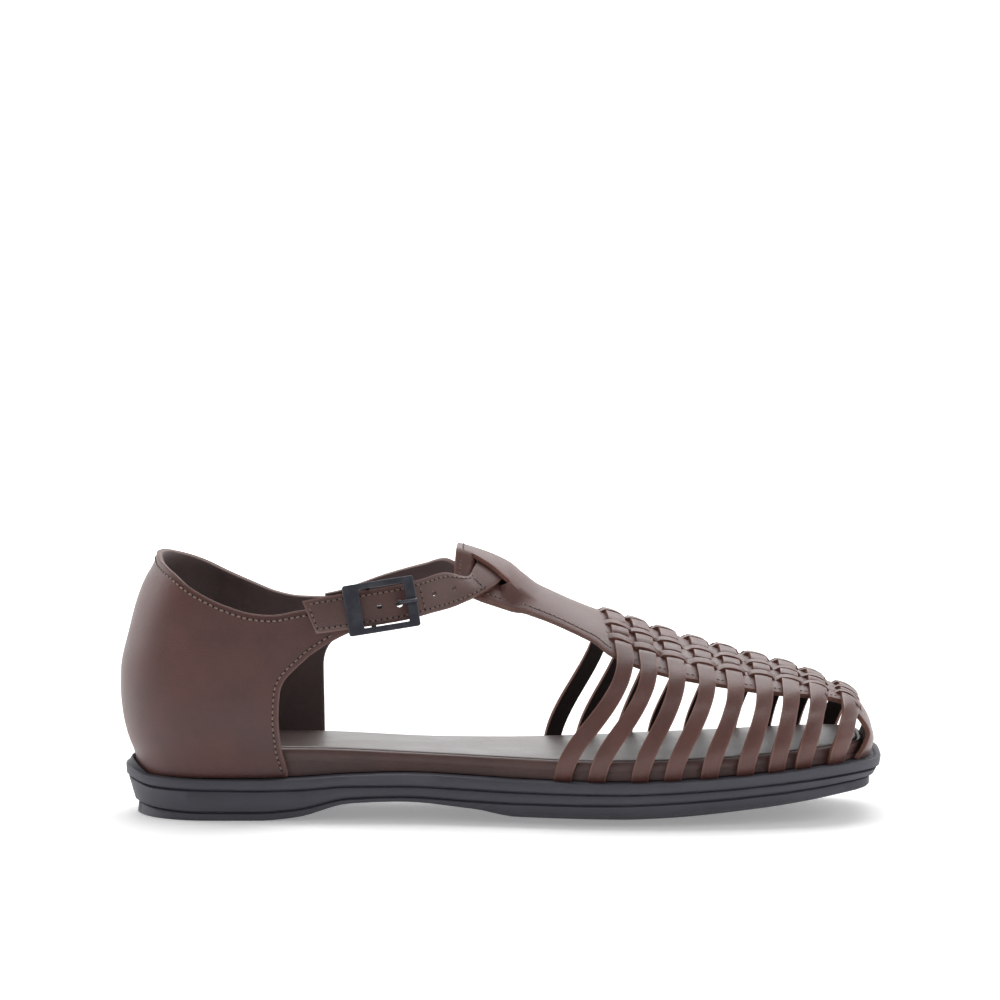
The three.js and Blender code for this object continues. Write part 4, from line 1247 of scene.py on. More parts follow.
@dataclass
class RingStack:
    """A solid of closed rings of the sole's plan, from the top down."""

    end_steps: int = 20
    middle_steps: int = 52
    rings: list[Ring] = field(default_factory=list)

    def stations(self, inset: float) -> list[float]:
        """Places along the plan, close at both ends.

        Args:
            inset: How far the plan is drawn in.

        Returns:
            The places in millimetres, from the heel's end to the toe's.
        """
        xs = []
        for i in range(self.end_steps):
            turn = math.cos(i / self.end_steps * math.pi / 2)
            xs.append(LAST.back - (SIZE.heel_round - inset) * turn ** (2 / SIZE.heel_power))
        for i in range(self.middle_steps + 1):
            xs.append(mix(LAST.back, LAST.front, i / self.middle_steps))
        for i in range(1, self.end_steps + 1):
            turn = math.sin(i / self.end_steps * math.pi / 2)
            xs.append(LAST.front + (SIZE.toe_square - inset) * turn ** (2 / SIZE.toe_power))
        return xs

    def add(
        self, inset: float, height: Callable[[float], float], rim: float = 0.0, under: float = 0.0
    ) -> None:
        """Adds a ring of the plan.

        Args:
            inset: How far the plan is drawn in.
            height: Height for each share of the length.
            rim: Lightening of the ring's edge, partly wear and partly a painted highlight.
            under: Whether the tread's ribs show on it.
        """

        def at(x: float, side: Side) -> Vector:
            """The ring's point at a place, on a side."""
            p = LAST.skew(Vector((x, side * LAST.half(x, side, inset), 0.0)))
            p.z = height(clamp(share(x)))
            return p

        self.close(at, self.stations(inset), rim, under)

    def close(
        self, at: Callable[[float, Side], Vector], xs: Sequence[float], rim: float = 0.0, under: float = 0.0
    ) -> None:
        """Adds a ring from its points on both sides."""
        self.rings.append(Ring({side: [at(x, side) for x in xs] for side in Side}, rim, under))

    def mesh(self) -> Mesh:
        """The closed solid: a grid of stations by the section's points, joined round it and at its ends.

        Returns:
            The mesh in metres.
        """
        section = [(ring, Side.LATERAL) for ring in self.rings]
        section += [(ring, Side.MEDIAL) for ring in reversed(self.rings)]
        section.append(section[0])
        rows = len(section[0][0].points[Side.LATERAL]) - 1
        columns = len(section) - 1
        bm = new_mesh()
        rim = bm.verts.layers.float["rim"]
        under = bm.verts.layers.float["under"]
        for v, i, j in sheet(bm, rows, columns):
            ring, side = section[j]
            v.co = metres(ring.points[side][i])
            v[rim] = ring.rim
            v[under] = ring.under
        bmesh.ops.remove_doubles(bm, verts=bm.verts, dist=MERGE)
        bmesh.ops.recalc_face_normals(bm, faces=bm.faces)
        return bm


@dataclass
class Bottom:
    """The rubber sole, the wrapped board and the sock."""

    palette: Palette
    rim_width: float = 2.4
    rim_foot: float = 0.4
    groove_depth: float = 0.9
    groove_height: float = 1.1
    band_step: float = 0.5
    side_taper: float = 1.6
    end_taper: float = 4.6
    under_bevel: float = 18.0
    board_inset: float = 6.1
    sock_inset: float = 2.2
    sock_depth: float = 1.2

    def taper(self, at: float) -> float:
        """How far the side leans in down to its foot."""
        end = max(1 - at / 0.1, (at - 0.86) / 0.14, 0.0)
        return mix(self.side_taper, self.end_taper, clamp(end))

    def sole(self) -> None:
        """The rubber, with its raised back rim, two grooves and bevelled underside."""
        edge = LAST.side["edge"]
        seat = LAST.side["seat"]
        foot = LAST.side["side"]
        tread = LAST.side["tread"]
        stack = RingStack()
        lip = self.rim_width
        stack.add(lip + self.rim_foot, seat)
        stack.add(lip, lambda at: edge(at) + max(0.0, edge(at) - seat(at)) - 0.2)
        stack.add(lip - 0.3, lambda at: edge(at) + max(0.0, edge(at) - seat(at)) * 0.9)
        # The rings of the top lip, and the groove edges below, carry rim weights that lighten them, partly
        # as scuffs and partly as a painted highlight.
        stack.add(0.8, lambda at: edge(at) + 0.05, 0.6)
        stack.add(0.2, lambda at: edge(at) - 0.12, 0.9)

        def row(down: Callable[[float], float], depth: float, step: float, rim: float) -> None:
            """Adds a ring of the side wall.

            Args:
                down: Share of the way down the side, for each share of the length.
                depth: Depth of the groove there, 0 to 1.
                step: Steps inwards of the bands above.
                rim: Lightening of the ring's edge, partly wear and partly a painted highlight.
            """
            def at(x: float, side: Side) -> Vector:
                """The wall's point at a place, on a side."""
                u = clamp(share(x))
                fall = clamp(down(u), 0.0, 0.98)
                inset = self.taper(u) * fall * fall + depth * self.groove_depth + step * self.band_step
                ends = max((0.12 - u) / 0.12, (u - 0.8) / 0.2, 0.0)
                p = Vector((x - math.copysign(inset * min(1.0, ends * 1.6), x), 0.0, 0.0))
                wide = LAST.half(x, side, 0)
                p.y = side * max(0.0, wide - inset if wide > inset * 2 else wide - inset / 2)
                p = LAST.skew(p)
                p.z = mix(edge(u), foot(u), fall)
                return p

            stack.close(at, stack.stations(0), rim)

        row(lambda u: 0.03, 0.0, 0.0, 0.7)
        for number, groove in enumerate(("upper", "lower")):
            for shift, depth in GROOVE_SHAPE:

                def down(u: float, groove: str = groove, shift: float = shift) -> float:
                    """Share of the way down the side of a line near a groove."""
                    height = edge(u) - foot(u)
                    return LAST.groove[groove](u) + shift * self.groove_height / height

                row(down, depth, number + (1 if shift > 0 else 0), 0.5 if abs(shift) > 0.6 else 0.0)
        bottom = self.side_taper + self.end_taper / 2
        stack.add(bottom, lambda at: foot(at) + 0.25, 0.3)
        stack.add(bottom + 0.5, lambda at: mix(foot(at), tread(at), 0.12))
        stack.add(bottom + self.under_bevel * 0.55, lambda at: mix(foot(at), tread(at), 0.72), 0, 0.4)
        stack.add(bottom + self.under_bevel, tread, 0, 1)
        stack.add(bottom + self.under_bevel + 1.2, tread, 0, 1)
        piece = Piece("outsole_rubber", Slot.RUBBER, [self.palette["sole_rubber"]], ["outsole"])
        piece.place(stack.mesh(), 50)

    def board(self) -> None:
        """The wrapped board with a rolled upper edge and the crease below it."""

        def top(at: float) -> float:
            """Height of the board's flat."""
            return LAST.footbed(at) - self.sock_depth - SIZE.fit

        stack = RingStack()
        for drop, draw in BOARD_EDGE:
            stack.add(self.board_inset + draw, lambda at, drop=drop: top(at) - drop)
        stack.add(self.board_inset + 0.05, lambda at: LAST.side["seat"](at) + SIZE.fit)
        piece = Piece("insole_wrap", Slot.BOARD, [self.palette["board_grain"]], ["insole_board"])
        piece.place(stack.mesh(), 60)

    def sock(self) -> None:
        """The sock, with a soft edge."""
        inset = self.board_inset + self.sock_inset
        stack = RingStack()
        for drop, draw in SOCK_EDGE:
            stack.add(inset + draw, lambda at, drop=drop: LAST.footbed(at) - drop)
        piece = Piece("insole_leather", Slot.SOCK, [self.palette["sock_grain"]], ["insole_sock"])
        piece.place(stack.mesh(), 60)

    def build(self) -> None:
        """Makes all three."""
        self.sole()
        self.board()
        self.sock()


@dataclass
class Counter:
    """The closed leather quarter round the heel."""

    palette: Palette
    counter_wall: float = 2.2
    around: int = 46
    levels: int = 30
    back_way: float = 0.55
    front_draw: float = 0.03
    seam_inset: float = 1.9
    front_seam_low: float = 18.5
    front_seam_drop: float = 13.0

    def __post_init__(self) -> None:
        """Makes the smooth curves of the tables."""
        self.back = Track(COUNTER, "back", SIZE.length)
        self.half = Track(COUNTER, "half", SIZE.heel_width)
        self.collar = {
            Side.LATERAL: Track(COLLAR_LATERAL, "top", SIZE.collar),
            Side.MEDIAL: Track(COLLAR_MEDIAL, "top", SIZE.collar),
        }
        self.front = {Side.LATERAL: Track(FRONT_LATERAL, "x"), Side.MEDIAL: Track(FRONT_MEDIAL, "x")}

    def point(self, way: float, side: Side, z: float, depth: float = 0.0) -> Vector:
        """A point of the wall.

        Args:
            way: Share of the way from the back of the heel to a front edge.
            side: The shoe's side.
            z: Height.
            depth: Depth below the outer face.

        Returns:
            The point in millimetres.
        """
        at = z / SIZE.collar
        back = -SIZE.length / 2 - self.back(at) + depth
        centre = LAST.back
        wide = self.half(at) - depth
        if way <= self.back_way:
            turn = way / self.back_way * math.pi / 2
            x = centre - (centre - back) * math.cos(turn) ** (2 / SIZE.heel_power)
            return Vector((x, side * wide * math.sin(turn) ** (2 / SIZE.heel_power), z))
        on = (way - self.back_way) / (1 - self.back_way)
        x = mix(centre, place(self.front[side](at)), on)
        draw = 1 - self.front_draw * clamp((x - centre) / (SIZE.length * 0.25))
        return Vector((x, side * wide * draw, z))

    def top(self, way: float, side: Side) -> float:
        """Height of the collar line.

        Args:
            way: Share of the way from the back of the heel to a front edge.
            side: The shoe's side.

        Returns:
            The height in millimetres.
        """
        z = SIZE.collar * 0.85
        for _ in range(14):
            z = mix(z, self.collar[side](share(self.point(way, side, z).x)), 0.7)
        return z

    def rows(self) -> list[tuple[Side, float]]:
        """The wall's columns from the lateral front edge round to the medial one."""
        n = self.around
        return [(Side.LATERAL if i < n else Side.MEDIAL, abs(i - n) / n) for i in range(2 * n + 1)]

    def undulate(self, p: Vector) -> float:
        """Soft unevenness of hand-lasted leather, in millimetres."""
        low = noise.noise(Vector((p.x / 26, p.y / 26, p.z / 19)))
        fold = noise.noise(Vector((p.x / 9 + 4, p.y / 9, p.z / 30)))
        return 0.16 * low + 0.07 * fold

    def face(self, depth: float) -> Grid:
        """The wall's face.

        Args:
            depth: Depth below the outside.

        Returns:
            Columns of points from the seat up to the collar.
        """
        grid = []
        for side, way in self.rows():
            foot = LAST.side["seat"](clamp(share(self.point(way, side, SIZE.sole).x))) + SIZE.fit
            top = self.top(way, side)
            line = []
            for j in range(self.levels):
                s = j / (self.levels - 1)
                p = self.point(way, side, mix(foot, top, s), depth)
                line.append(p)
            grid.append(line)
        return lifted(grid, lambda i, j: self.undulate(grid[i][j]) * smooth(j / 6) - 0.08)

    def seam_path(self, start: int, stop: int, drop: float) -> Path3:
        """A path along the collar, a little below it, on the outer face.

        Args:
            start: First column.
            stop: Column after the last.
            drop: Distance below the collar line.

        Returns:
            Its points and their outward normals.
        """
        points = []
        for i in range(start, stop):
            side, way = self.rows()[i]
            z = self.top(way, side) - drop
            points.append(self.point(way, side, z))
        out = [(p - core(p)).normalized() for p in points]
        out = [Vector((n.x, n.y, 0)).normalized() for n in out]
        return points, out

    def front_path(self, side: Side, back: float) -> Path3:
        """A path down a front edge, a little behind it.

        Args:
            side: The shoe's side.
            back: Distance behind the edge.

        Returns:
            Its points and their outward normals.
        """
        points = []
        high = self.top(1, side) - self.front_seam_drop
        for k in range(60):
            z = mix(high, self.front_seam_low, k / 59)
            p = self.point(1, side, z)
            q = self.point(1, side, z + 0.5)
            run = Vector((q.x - p.x, 0, q.z - p.z)).normalized()
            away = Vector((-run.z, 0, run.x)) if run.z > 0 else Vector((run.z, 0, -run.x))
            points.append(Vector((p.x + away.x * back, p.y, p.z + away.z * back)))
        out = [Vector((0, side, 0)) for _ in points]
        return points, out

    def build(self, stitches: Stitcher) -> None:
        """Makes the wall with its lining and piping, and its rows of stitches.

        Args:
            stitches: Takes the seams.
        """
        faces = self.palette.several("counter_grain", "lining_grain", "folded_edge")
        wall = Piece("counter_leather", Slot.COUNTER, faces, ["heel_counter"])
        bm = new_mesh()
        add_grid(bm, self.face(0.1), end_rims=True)
        made = wall.place(bm)
        wall.thicken(made, self.counter_wall - 0.2, -1, 0.55)
        n = self.around
        for start, stop in ((6, n + 1), (n, 2 * n - 4)):
            stitches.sew(Seam(*self.seam_path(start, stop, self.seam_inset), 2.0, 1.35, 0.27))
        for side in Side:
            stitches.sew(Seam(*self.front_path(side, self.seam_inset), 2.0, 1.35, 0.23))
        self.piping()

    def piping(self) -> None:
        """The thin light line where leather and lining meet at the collar."""
        path = []
        for side, way in self.rows()[3:-3]:
            z = self.top(way, side)
            path.append(self.point(way, side, z - 0.25, 0.35))
        bm = new_mesh()
        add_tube(bm, path, 0.34, 0.34, 8)
        Piece("collar_piping", Slot.COUNTER, [self.palette["folded_edge"]]).place(bm, 70)


def add_tube(
    bm: Mesh, path: Sequence[Vector], wide: float, deep: float, around: int = 10
) -> None:
    """Adds a closed tube of an oval section.

    Args:
        bm: The mesh.
        path: Points of the tube's middle in millimetres.
        wide: Half width of the section across the upright.
        deep: Half width of the section along the upright.
        around: Faces round the tube.
    """
    last = len(path) - 1
    axes = []
    for i in range(last + 1):
        along = (path[min(i + 1, last)] - path[max(i - 1, 0)]).normalized()
        u = along.cross(Vector((0.0, 0.0, 1.0)))
        if u.length < 1e-6:
            u = along.cross(Vector((0.0, 1.0, 0.0)))
        u.normalize()
        axes.append((u, along.cross(u).normalized()))
    made = sheet(bm, last, around)
    for v, i, j in made:
        turn = j / around * 2 * math.pi
        u, w = axes[i]
        v.co = metres(path[i] + u * math.cos(turn) * wide + w * math.sin(turn) * deep)
    bmesh.ops.remove_doubles(bm, verts=[v for v, _, _ in made], dist=MERGE)
    bmesh.ops.holes_fill(bm, edges=[e for e in bm.edges if e.is_boundary], sides=0)
    bmesh.ops.recalc_face_normals(bm, faces=bm.faces)


@dataclass
class Row:
    """One row of the vamp: a share of the length on top, or a share of the way down the toe's front."""

    at: float
    down: float = 0.0


@dataclass
class Vamp:
    """T-bar, bands and strips as leather sheets that go over and under each other."""

    palette: Palette
    strip_width: float = 5.3
    strip_depth: float = 1.5
    slit_gap: float = 0.16
    row_step: float = 1.05
    toe_rows: int = 16
    band_columns: int = 5
    lining_end: float = 0.61
    slits_faded: float = 0.585
    flap_closed: tuple[float, float] = (0.4535, 0.4985)
    flap_fade: float = 0.006
    lining_inset: float = 1.2
    seam_inset: float = 1.9

    def __post_init__(self) -> None:
        """Makes the smooth curves and the rows."""
        self.edge = {side: Track(VAMP_EDGES, side.column, SIZE.ball_width) for side in Side}
        self.slit = {side: Track(HEAD, side.column, SIZE.ball_width) for side in Side}
        self.lift = Track(HEAD, "lift")
        total = sum(BANDS)
        self.lines = [sum(BANDS[:k]) / total for k in range(len(BANDS) + 1)]
        self.reach = self.strip_width / 2
        slants: Table = {"at": (SLANT_START, *STRIPS["top"]), "by": (0.0, *STRIPS["far_top"])}
        self.slant = Track(slants, "by")
        self.first_slit = STRIPS["top"][0] - (self.reach + 2.4) / SIZE.length
        self.last_row = STRIPS["top"][-1] + (self.reach + 0.9) / SIZE.length
        self.rows = self.all_rows()
        self.last_top = sum(1 for row in self.rows if row.down == 0) - 1
        self.foot = LAST.side["seat"](1) + SIZE.fit
        self.ends: dict[float, float] = {}

    def all_rows(self) -> list[Row]:
        """Rows from the head to the toe's foot.

        Returns:
            The rows in order.
        """
        start = VAMP_EDGES["at"][0]
        count = round((self.last_row - start) * SIZE.length / self.row_step)
        rows = [Row(mix(start, self.last_row, i / count)) for i in range(count + 1)]
        rows += [Row(self.last_row, (i + 1) / self.toe_rows) for i in range(self.toe_rows)]
        return rows

    def across(self, at: float, line: float) -> float:
        """Y of a line of the leather.

        Args:
            at: Share of the length.
            line: Share of the way from the lateral to the medial edge.

        Returns:
            Y in millimetres.
        """
        low = self.edge[Side.LATERAL](at)
        high = self.edge[Side.MEDIAL](at)
        plain = mix(low, high, line)
        if at > self.slits_faded:
            return plain
        a = self.slit[Side.LATERAL](at)
        b = self.slit[Side.MEDIAL](at)
        s, t = self.lines[2], self.lines[7]
        if line < s:
            slit = mix(low, a, line / s)
        elif line < t:
            slit = mix(a, b, (line - s) / (t - s))
        else:
            slit = mix(b, high, (line - t) / (1 - t))
        return mix(slit, plain, smooth((at - HEAD_JOINED) / 0.05))

    def aslant(self, at: float, line: float) -> float:
        """Where a row that starts at a place on the lateral side crosses a line of the leather."""
        return at + self.slant(at) * line

    def base(self, number: int, line: float) -> Vector:
        """The last's surface under the leather.

        Args:
            number: The row's number.
            line: Share of the way across.

        Returns:
            The point in millimetres.
        """
        row = self.rows[min(number, self.last_top)]
        at = self.aslant(row.at, line)
        y = self.across(at, line)
        key = round(y, 2)
        if key not in self.ends:
            self.ends[key] = LAST.foremost(key, self.foot + SIZE.last_wall) - SIZE.tuck
        end = self.ends[key] - (self.last_top - min(number, self.last_top)) * 0.05
        top = LAST.over(min(place(at), end), y)
        if number <= self.last_top:
            return LAST.skew(top)
        down = self.rows[number].down
        y = mix(top.y, self.across(1, line), down)
        z = mix(top.z, self.foot + 0.2, down)
        return LAST.skew(Vector((LAST.foremost(y, z), y, z)))

    def head_rise(self, at: float, band: int) -> float:
        """How far the head's leather dips at its flaps and is lifted over the strap.

        Args:
            at: Share of the length.
            band: The band's number.

        Returns:
            Height of the inner face above the last.
        """
        dip = -SIZE.head_dip * smooth((HEAD_JOINED - at) / (HEAD_JOINED - HEAD_SLIT_END))
        lift = self.lift(at)
        if 2 <= band <= 6 and lift > 0:
            room = SIZE.strap + SIZE.strap_clear + SIZE.strap_headroom + SIZE.vamp - SIZE.head_dip
            return max(lift * room, dip * (1 - lift))
        return dip

    def over_strip(self, at: float) -> float:
        """How far a band rises over the cross strips.

        Args:
            at: Share of the length.

        Returns:
            Height of the inner face above the last.
        """
        rise = 0.0
        for top in STRIPS["top"]:
            gap = abs(at - top) * SIZE.length
            flat = 1 - smooth((gap - self.reach - 0.05) / 1.15)
            crown = 0.42 * max(0.0, 1 - (gap / self.reach) ** 2)
            rise = max(rise, flat * (self.strip_depth - 0.1) + crown)
        return rise

    def band_rise(self, number: int, band: int, line: float) -> float:
        """Height of a band's inner face above the last.

        Args:
            number: The row's number.
            band: The band's number.
            line: Share of the way across the leather.

        Returns:
            The height in millimetres.
        """
        row = self.rows[number]
        if row.at < HEAD["at"][-2] and row.down == 0:
            if 2 <= band <= 6:
                return self.head_rise(row.at, band)
            return mix(self.head_rise(row.at, band), self.head_rise(row.at, 4), self.flap(row.at, line))
        if band % 2 == 0 or row.down > 0:
            return 0.0
        return self.over_strip(row.at)

    def columns(self, band: int) -> list[float]:
        """Lines across one band."""
        count = self.band_columns + (4 if band == 4 else 0)
        return [mix(self.lines[band], self.lines[band + 1], j / (count - 1)) for j in range(count)]

    def flap(self, at: float, line: float) -> float:
        """How far the leather beside a slit rises to meet the head's middle, fore and aft of the strap.

        Args:
            at: Share of the length.
            line: Share of the way across.

        Returns:
            0 for none of the way, 1 for all of it.
        """
        way = line / self.lines[2] if line < 0.5 else (1 - line) / (1 - self.lines[7])
        fore, aft = (smooth((at - end) / self.flap_fade) for end in self.flap_closed)
        closed = max(1 - fore, aft)
        return closed * clamp(way) ** 2.2

    def bands(self) -> None:
        """The T-bar and its nine bands, joined where no slit divides them."""
        lines = sorted({round(line, 6) for band in range(len(BANDS)) for line in self.columns(band)})
        full = [[self.base(number, line) for line in lines] for number in range(len(self.rows))]
        out = outward(full)
        bm = new_mesh()
        for band in range(len(BANDS)):
            chosen = [lines.index(round(line, 6)) for line in self.columns(band)]
            grid: Grid = []
            for number, row in enumerate(self.rows):
                gap = self.slit_gap * smooth((row.at - self.first_slit) * SIZE.length / 1.5)
                run = []
                for j, k in enumerate(chosen):
                    p = full[number][k]
                    if j == 0 and band > 0:
                        p = p + (full[number][k + 1] - p).normalized() * gap
                    if j == len(chosen) - 1 and band < len(BANDS) - 1:
                        p = p + (full[number][k - 1] - p).normalized() * gap
                    run.append(p + out[number][k] * self.band_rise(number, band, lines[k]))
                grid.append(run)
            add_grid(bm, grid)
        bmesh.ops.remove_doubles(bm, verts=bm.verts, dist=0.00004)
        self.true_rims(bm)
        faces = self.palette.several("vamp_grain", "flesh_side", "cut_edge")
        piece = Piece("vamp_bands", Slot.VAMP, faces, ["woven_vamp"])
        made = piece.place(bm)
        piece.thicken(made, SIZE.vamp, 1, 0.3)

    @staticmethod
    def true_rims(bm: Mesh) -> None:
        """Measures the rim distance again after the bands were joined, from open edges only.

        Args:
            bm: The joined bands.
        """
        rim = bm.verts.layers.float["rim"]
        open_verts = {v for edge in bm.edges if edge.is_boundary for v in edge.verts}
        for v in bm.verts:
            if v in open_verts:
                v[rim] = 0.0
                continue
            near = [
                (e.other_vert(v).co - v.co).length * 1000
                for e in v.link_edges
                if e.other_vert(v) in open_verts
            ]
            v[rim] = min(near) if near else 3.0

    def strip(self, index: int) -> Grid:
        """One cross strip, from the lateral seat over and under the bands to the medial seat.

        Args:
            index: The strip's number from the instep.

        Returns:
            Rows of points of its inner face.
        """
        top = STRIPS["top"][index]
        stops: list[tuple[Callable[[float], Vector], float, float]] = []
        steps = 24
        for side in Side:
            far = side is Side.MEDIAL
            crossing = place(self.aslant(top, 1.0 if far else 0.0))
            base = place(STRIPS["base"][index] + (STRIPS["far_base"][index] if far else 0.0))
            edge = self.edge[side](share(crossing))
            foot = LAST.section(crossing).foot
            rim = LAST.over(crossing, edge).z - foot
            run = []
            for i in range(steps):
                up = i / steps
                rise = mix(0.15, rim, up)
                x = mix(base, crossing, smooth(up))
                lift = (SIZE.vamp + 0.05) * smooth((up - 0.78) / 0.2)

                def on(px: float, side: Side = side, rise: float = rise) -> Vector:
                    """The last's flank at the stop's height."""
                    return LAST.flank(px, side, rise)

                run.append((on, x, lift))
            if side is Side.LATERAL:
                stops += run
                stops += self.crossing(top)
            else:
                stops += reversed(run)
        middle = [on(x) for on, x, _ in stops]
        grid: Grid = []
        columns = 7
        for i, (on, x, _) in enumerate(stops):
            run = middle[min(len(stops) - 1, i + 1)] - middle[max(0, i - 1)]
            wide = self.strip_width * run.length / max(math.hypot(run.y, run.z), 0.01)
            wide = min(wide, self.strip_width * 1.35)
            grid.append([LAST.skew(on(x + (j / (columns - 1) - 0.5) * wide)) for j in range(columns)])
        seed = index * 3.1

        def lift(i: int, j: int) -> float:
            """Height of the strip above the last, with its soft crown."""
            s = j / (columns - 1) * 2 - 1
            wander = 0.16 * noise.noise(Vector((i * 0.12, s * 0.6, seed)))
            return stops[i][2] + 0.24 * (1 - s * s) + wander

        return lifted(grid, lift)

    def crossing(self, top: float) -> list[tuple[Callable[[float], Vector], float, float]]:
        """The stops of a strip on the bands: over the even ones and under the odd ones.

        Args:
            top: Share of the length where it meets the lateral edge.

        Returns:
            For each stop the surface it lies on, its place and its lift.
        """
        count = round((self.edge[Side.MEDIAL](top) - self.edge[Side.LATERAL](top)) / 0.75)
        stops = []
        for i in range(count + 1):
            line = i / count
            at = self.aslant(top, line)
            y = self.across(at, line)
            width = self.edge[Side.MEDIAL](at) - self.edge[Side.LATERAL](at)
            band = min(len(BANDS) - 1, max(k for k in range(len(BANDS)) if line >= self.lines[k] - 1e-6))
            before = (line - self.lines[band]) * width if band > 0 else 9.0
            after = (self.lines[band + 1] - line) * width if band < len(BANDS) - 1 else 9.0
            lift = (SIZE.vamp + 0.05) * smooth(min(before, after) / 1.3) if band % 2 == 0 else 0.0

            def on(px: float, y: float = y) -> Vector:
                """The last's top at the stop's line."""
                return LAST.over(px, y)

            stops.append((on, place(at), lift))
        return stops

    def strips(self) -> None:
        """All nine strips as one piece."""
        bm = new_mesh()
        for index in range(len(STRIPS["top"])):
            add_grid(bm, self.strip(index))
        faces = self.palette.several("strip_grain", "flesh_side", "cut_edge")
        piece = Piece("cross_strips", Slot.VAMP, faces, ["woven_vamp"])
        made = piece.place(bm)
        piece.thicken(made, self.strip_depth, 1, 0.28)

    def surface_path(
        self, start: float, stop: float, line: Callable[[float], float], lift: float
    ) -> Path3:
        """A path on top of the leather between two places.

        Args:
            start: First share of the length.
            stop: Last share of the length.
            line: Y for each share.
            lift: Height above the leather.

        Returns:
            Its points and their outward normals.
        """
        points = []
        out = []
        for k in range(81):
            at = mix(start, stop, k / 80)
            y = line(at)
            n = LAST.normal(place(at), y)
            inset = 0 if at > HEAD_JOINED else self.head_rise(at, 0)
            points.append(LAST.skew(LAST.over(place(at), y) + n * (SIZE.vamp + inset + lift)))
            out.append(n)
        return points, out

    def seams(self, stitches: Stitcher) -> None:
        """Stitches along the T-bar's edges, its head and the lower edge of the outer bands.

        Args:
            stitches: Takes the seams.
        """
        start = VAMP_EDGES["at"][0] + 0.004
        for side in Side:
            line = self.edge[side]

            def inside(at: float, line: Track = line, side: Side = side) -> float:
                """The line of the edge stitches."""
                return line(at) - side * self.seam_inset

            path = self.surface_path(start, STRIPS["top"][0] - 0.016, inside, 0.0)
            stitches.sew(Seam(*path, 1.75, 1.2, 0.2))
            for a, b in zip(STRIPS["top"], STRIPS["top"][1:], strict=False):
                gap = (self.reach + 0.5) / SIZE.length
                if b - a > 2 * gap + 0.004:
                    path = self.surface_path(a + gap, b - gap, inside, 0.0)
                    stitches.sew(Seam(*path, 1.6, 1.1, 0.18, holes=False))
        points = []
        out = []
        at = VAMP_EDGES["at"][0] + 1.6 / SIZE.length
        for k in range(41):
            line = mix(0.03, 0.97, k / 40)
            y = self.across(at, line)
            closed = 1.0 if self.lines[2] < line < self.lines[7] else self.flap(at, line)
            rise = mix(self.head_rise(at, 0), self.head_rise(at, 4), closed)
            n = LAST.normal(place(at), y)
            points.append(LAST.over(place(at), y) + n * (SIZE.vamp + rise))
            out.append(n)
        stitches.sew(Seam(points, out, 1.6, 1.1, 0.2))

    def underlay(self) -> None:
        """The T-bar's lining, one sheet under the head's slits and on to the first strip."""
        grid: Grid = []
        depth = []
        for i in range(44):
            at = mix(VAMP_EDGES["at"][0] + 0.006, self.lining_end, i / 43)
            low = self.edge[Side.LATERAL](at) + self.lining_inset
            high = self.edge[Side.MEDIAL](at) - self.lining_inset
            grid.append([LAST.over(place(at), mix(low, high, j / 12)) for j in range(13)])
            depth.append(SIZE.head_dip * smooth((HEAD_JOINED + 0.01 - at) / 0.02))
        bm = new_mesh()
        add_grid(bm, lifted(grid, lambda i, j: -depth[i] - 0.75))
        piece = Piece("tbar_lining", Slot.VAMP, [self.palette["lining_grain"]], ["woven_vamp"])
        made = piece.place(bm)
        piece.thicken(made, 0.6, 1, 0.15)

    def rolled_edges(self) -> None:
        """The turned-in edge along both sides of the T-bar."""
        bm = new_mesh()
        for side in Side:
            line = self.edge[side]

            def outer(at: float, line: Track = line, side: Side = side) -> float:
                """The leather's edge line."""
                return line(at) + side * 0.1

            start = VAMP_EDGES["at"][0] + 0.001
            points, _ = self.surface_path(start, STRIPS["top"][0] - 0.012, outer, -0.72)
            add_tube(bm, points, 0.72, 0.66, 10)
        Piece("tbar_edge", Slot.VAMP, [self.palette["folded_edge"]]).place(bm, 70)

    def build(self, stitches: Stitcher) -> None:
        """Makes the whole vamp.

        Args:
            stitches: Takes the seams.
        """
        self.bands()
        self.strips()
        self.underlay()
        self.rolled_edges()
        self.seams(stitches)


class Spline:
    """A centripetal curve through points, with its parameter even over the points."""

    def __init__(self, points: Sequence[Vector]) -> None:
        """Keeps a copy of the points."""
        self.points = [p.copy() for p in points]

    def __call__(self, t: float) -> Vector:
        """The curve's point.

        Args:
            t: 0 at the first point and 1 at the last.

        Returns:
            The point.
        """
        last = len(self.points) - 1
        place_on = last * clamp(t)
        i = min(int(place_on), last - 1)
        w = place_on - i
        p = self.points
        p0 = p[i - 1] if i > 0 else p[0] * 2 - p[1]
        p1 = p[i]
        p2 = p[i + 1]
        p3 = p[i + 2] if i + 2 <= last else p[last] * 2 - p[last - 1]
        d0 = max((p1 - p0).length ** 0.5, 1e-4)
        d1 = max((p2 - p1).length ** 0.5, 1e-4)
        d2 = max((p3 - p2).length ** 0.5, 1e-4)
        m1 = ((p1 - p0) / d0 - (p2 - p0) / (d0 + d1) + (p2 - p1) / d1) * d1
        m2 = ((p2 - p1) / d1 - (p3 - p1) / (d1 + d2) + (p3 - p2) / d2) * d1
        bend = p2 * 3 - p1 * 3 - m1 * 2 - m2
        twist = p1 * 2 - p2 * 2 + m1 + m2
        return p1 + m1 * w + bend * w * w + twist * w * w * w


@dataclass(frozen=True)
class Pose:
    """A place on the strap with its directions along, up the strap's width and outwards."""

    at: Vector
    along: Vector
    up: Vector
    out: Vector

    def point(self, along: float, up: float, out: float) -> Vector:
        """A point in this pose's own frame."""
        return self.at + self.along * along + self.up * up + self.out * out


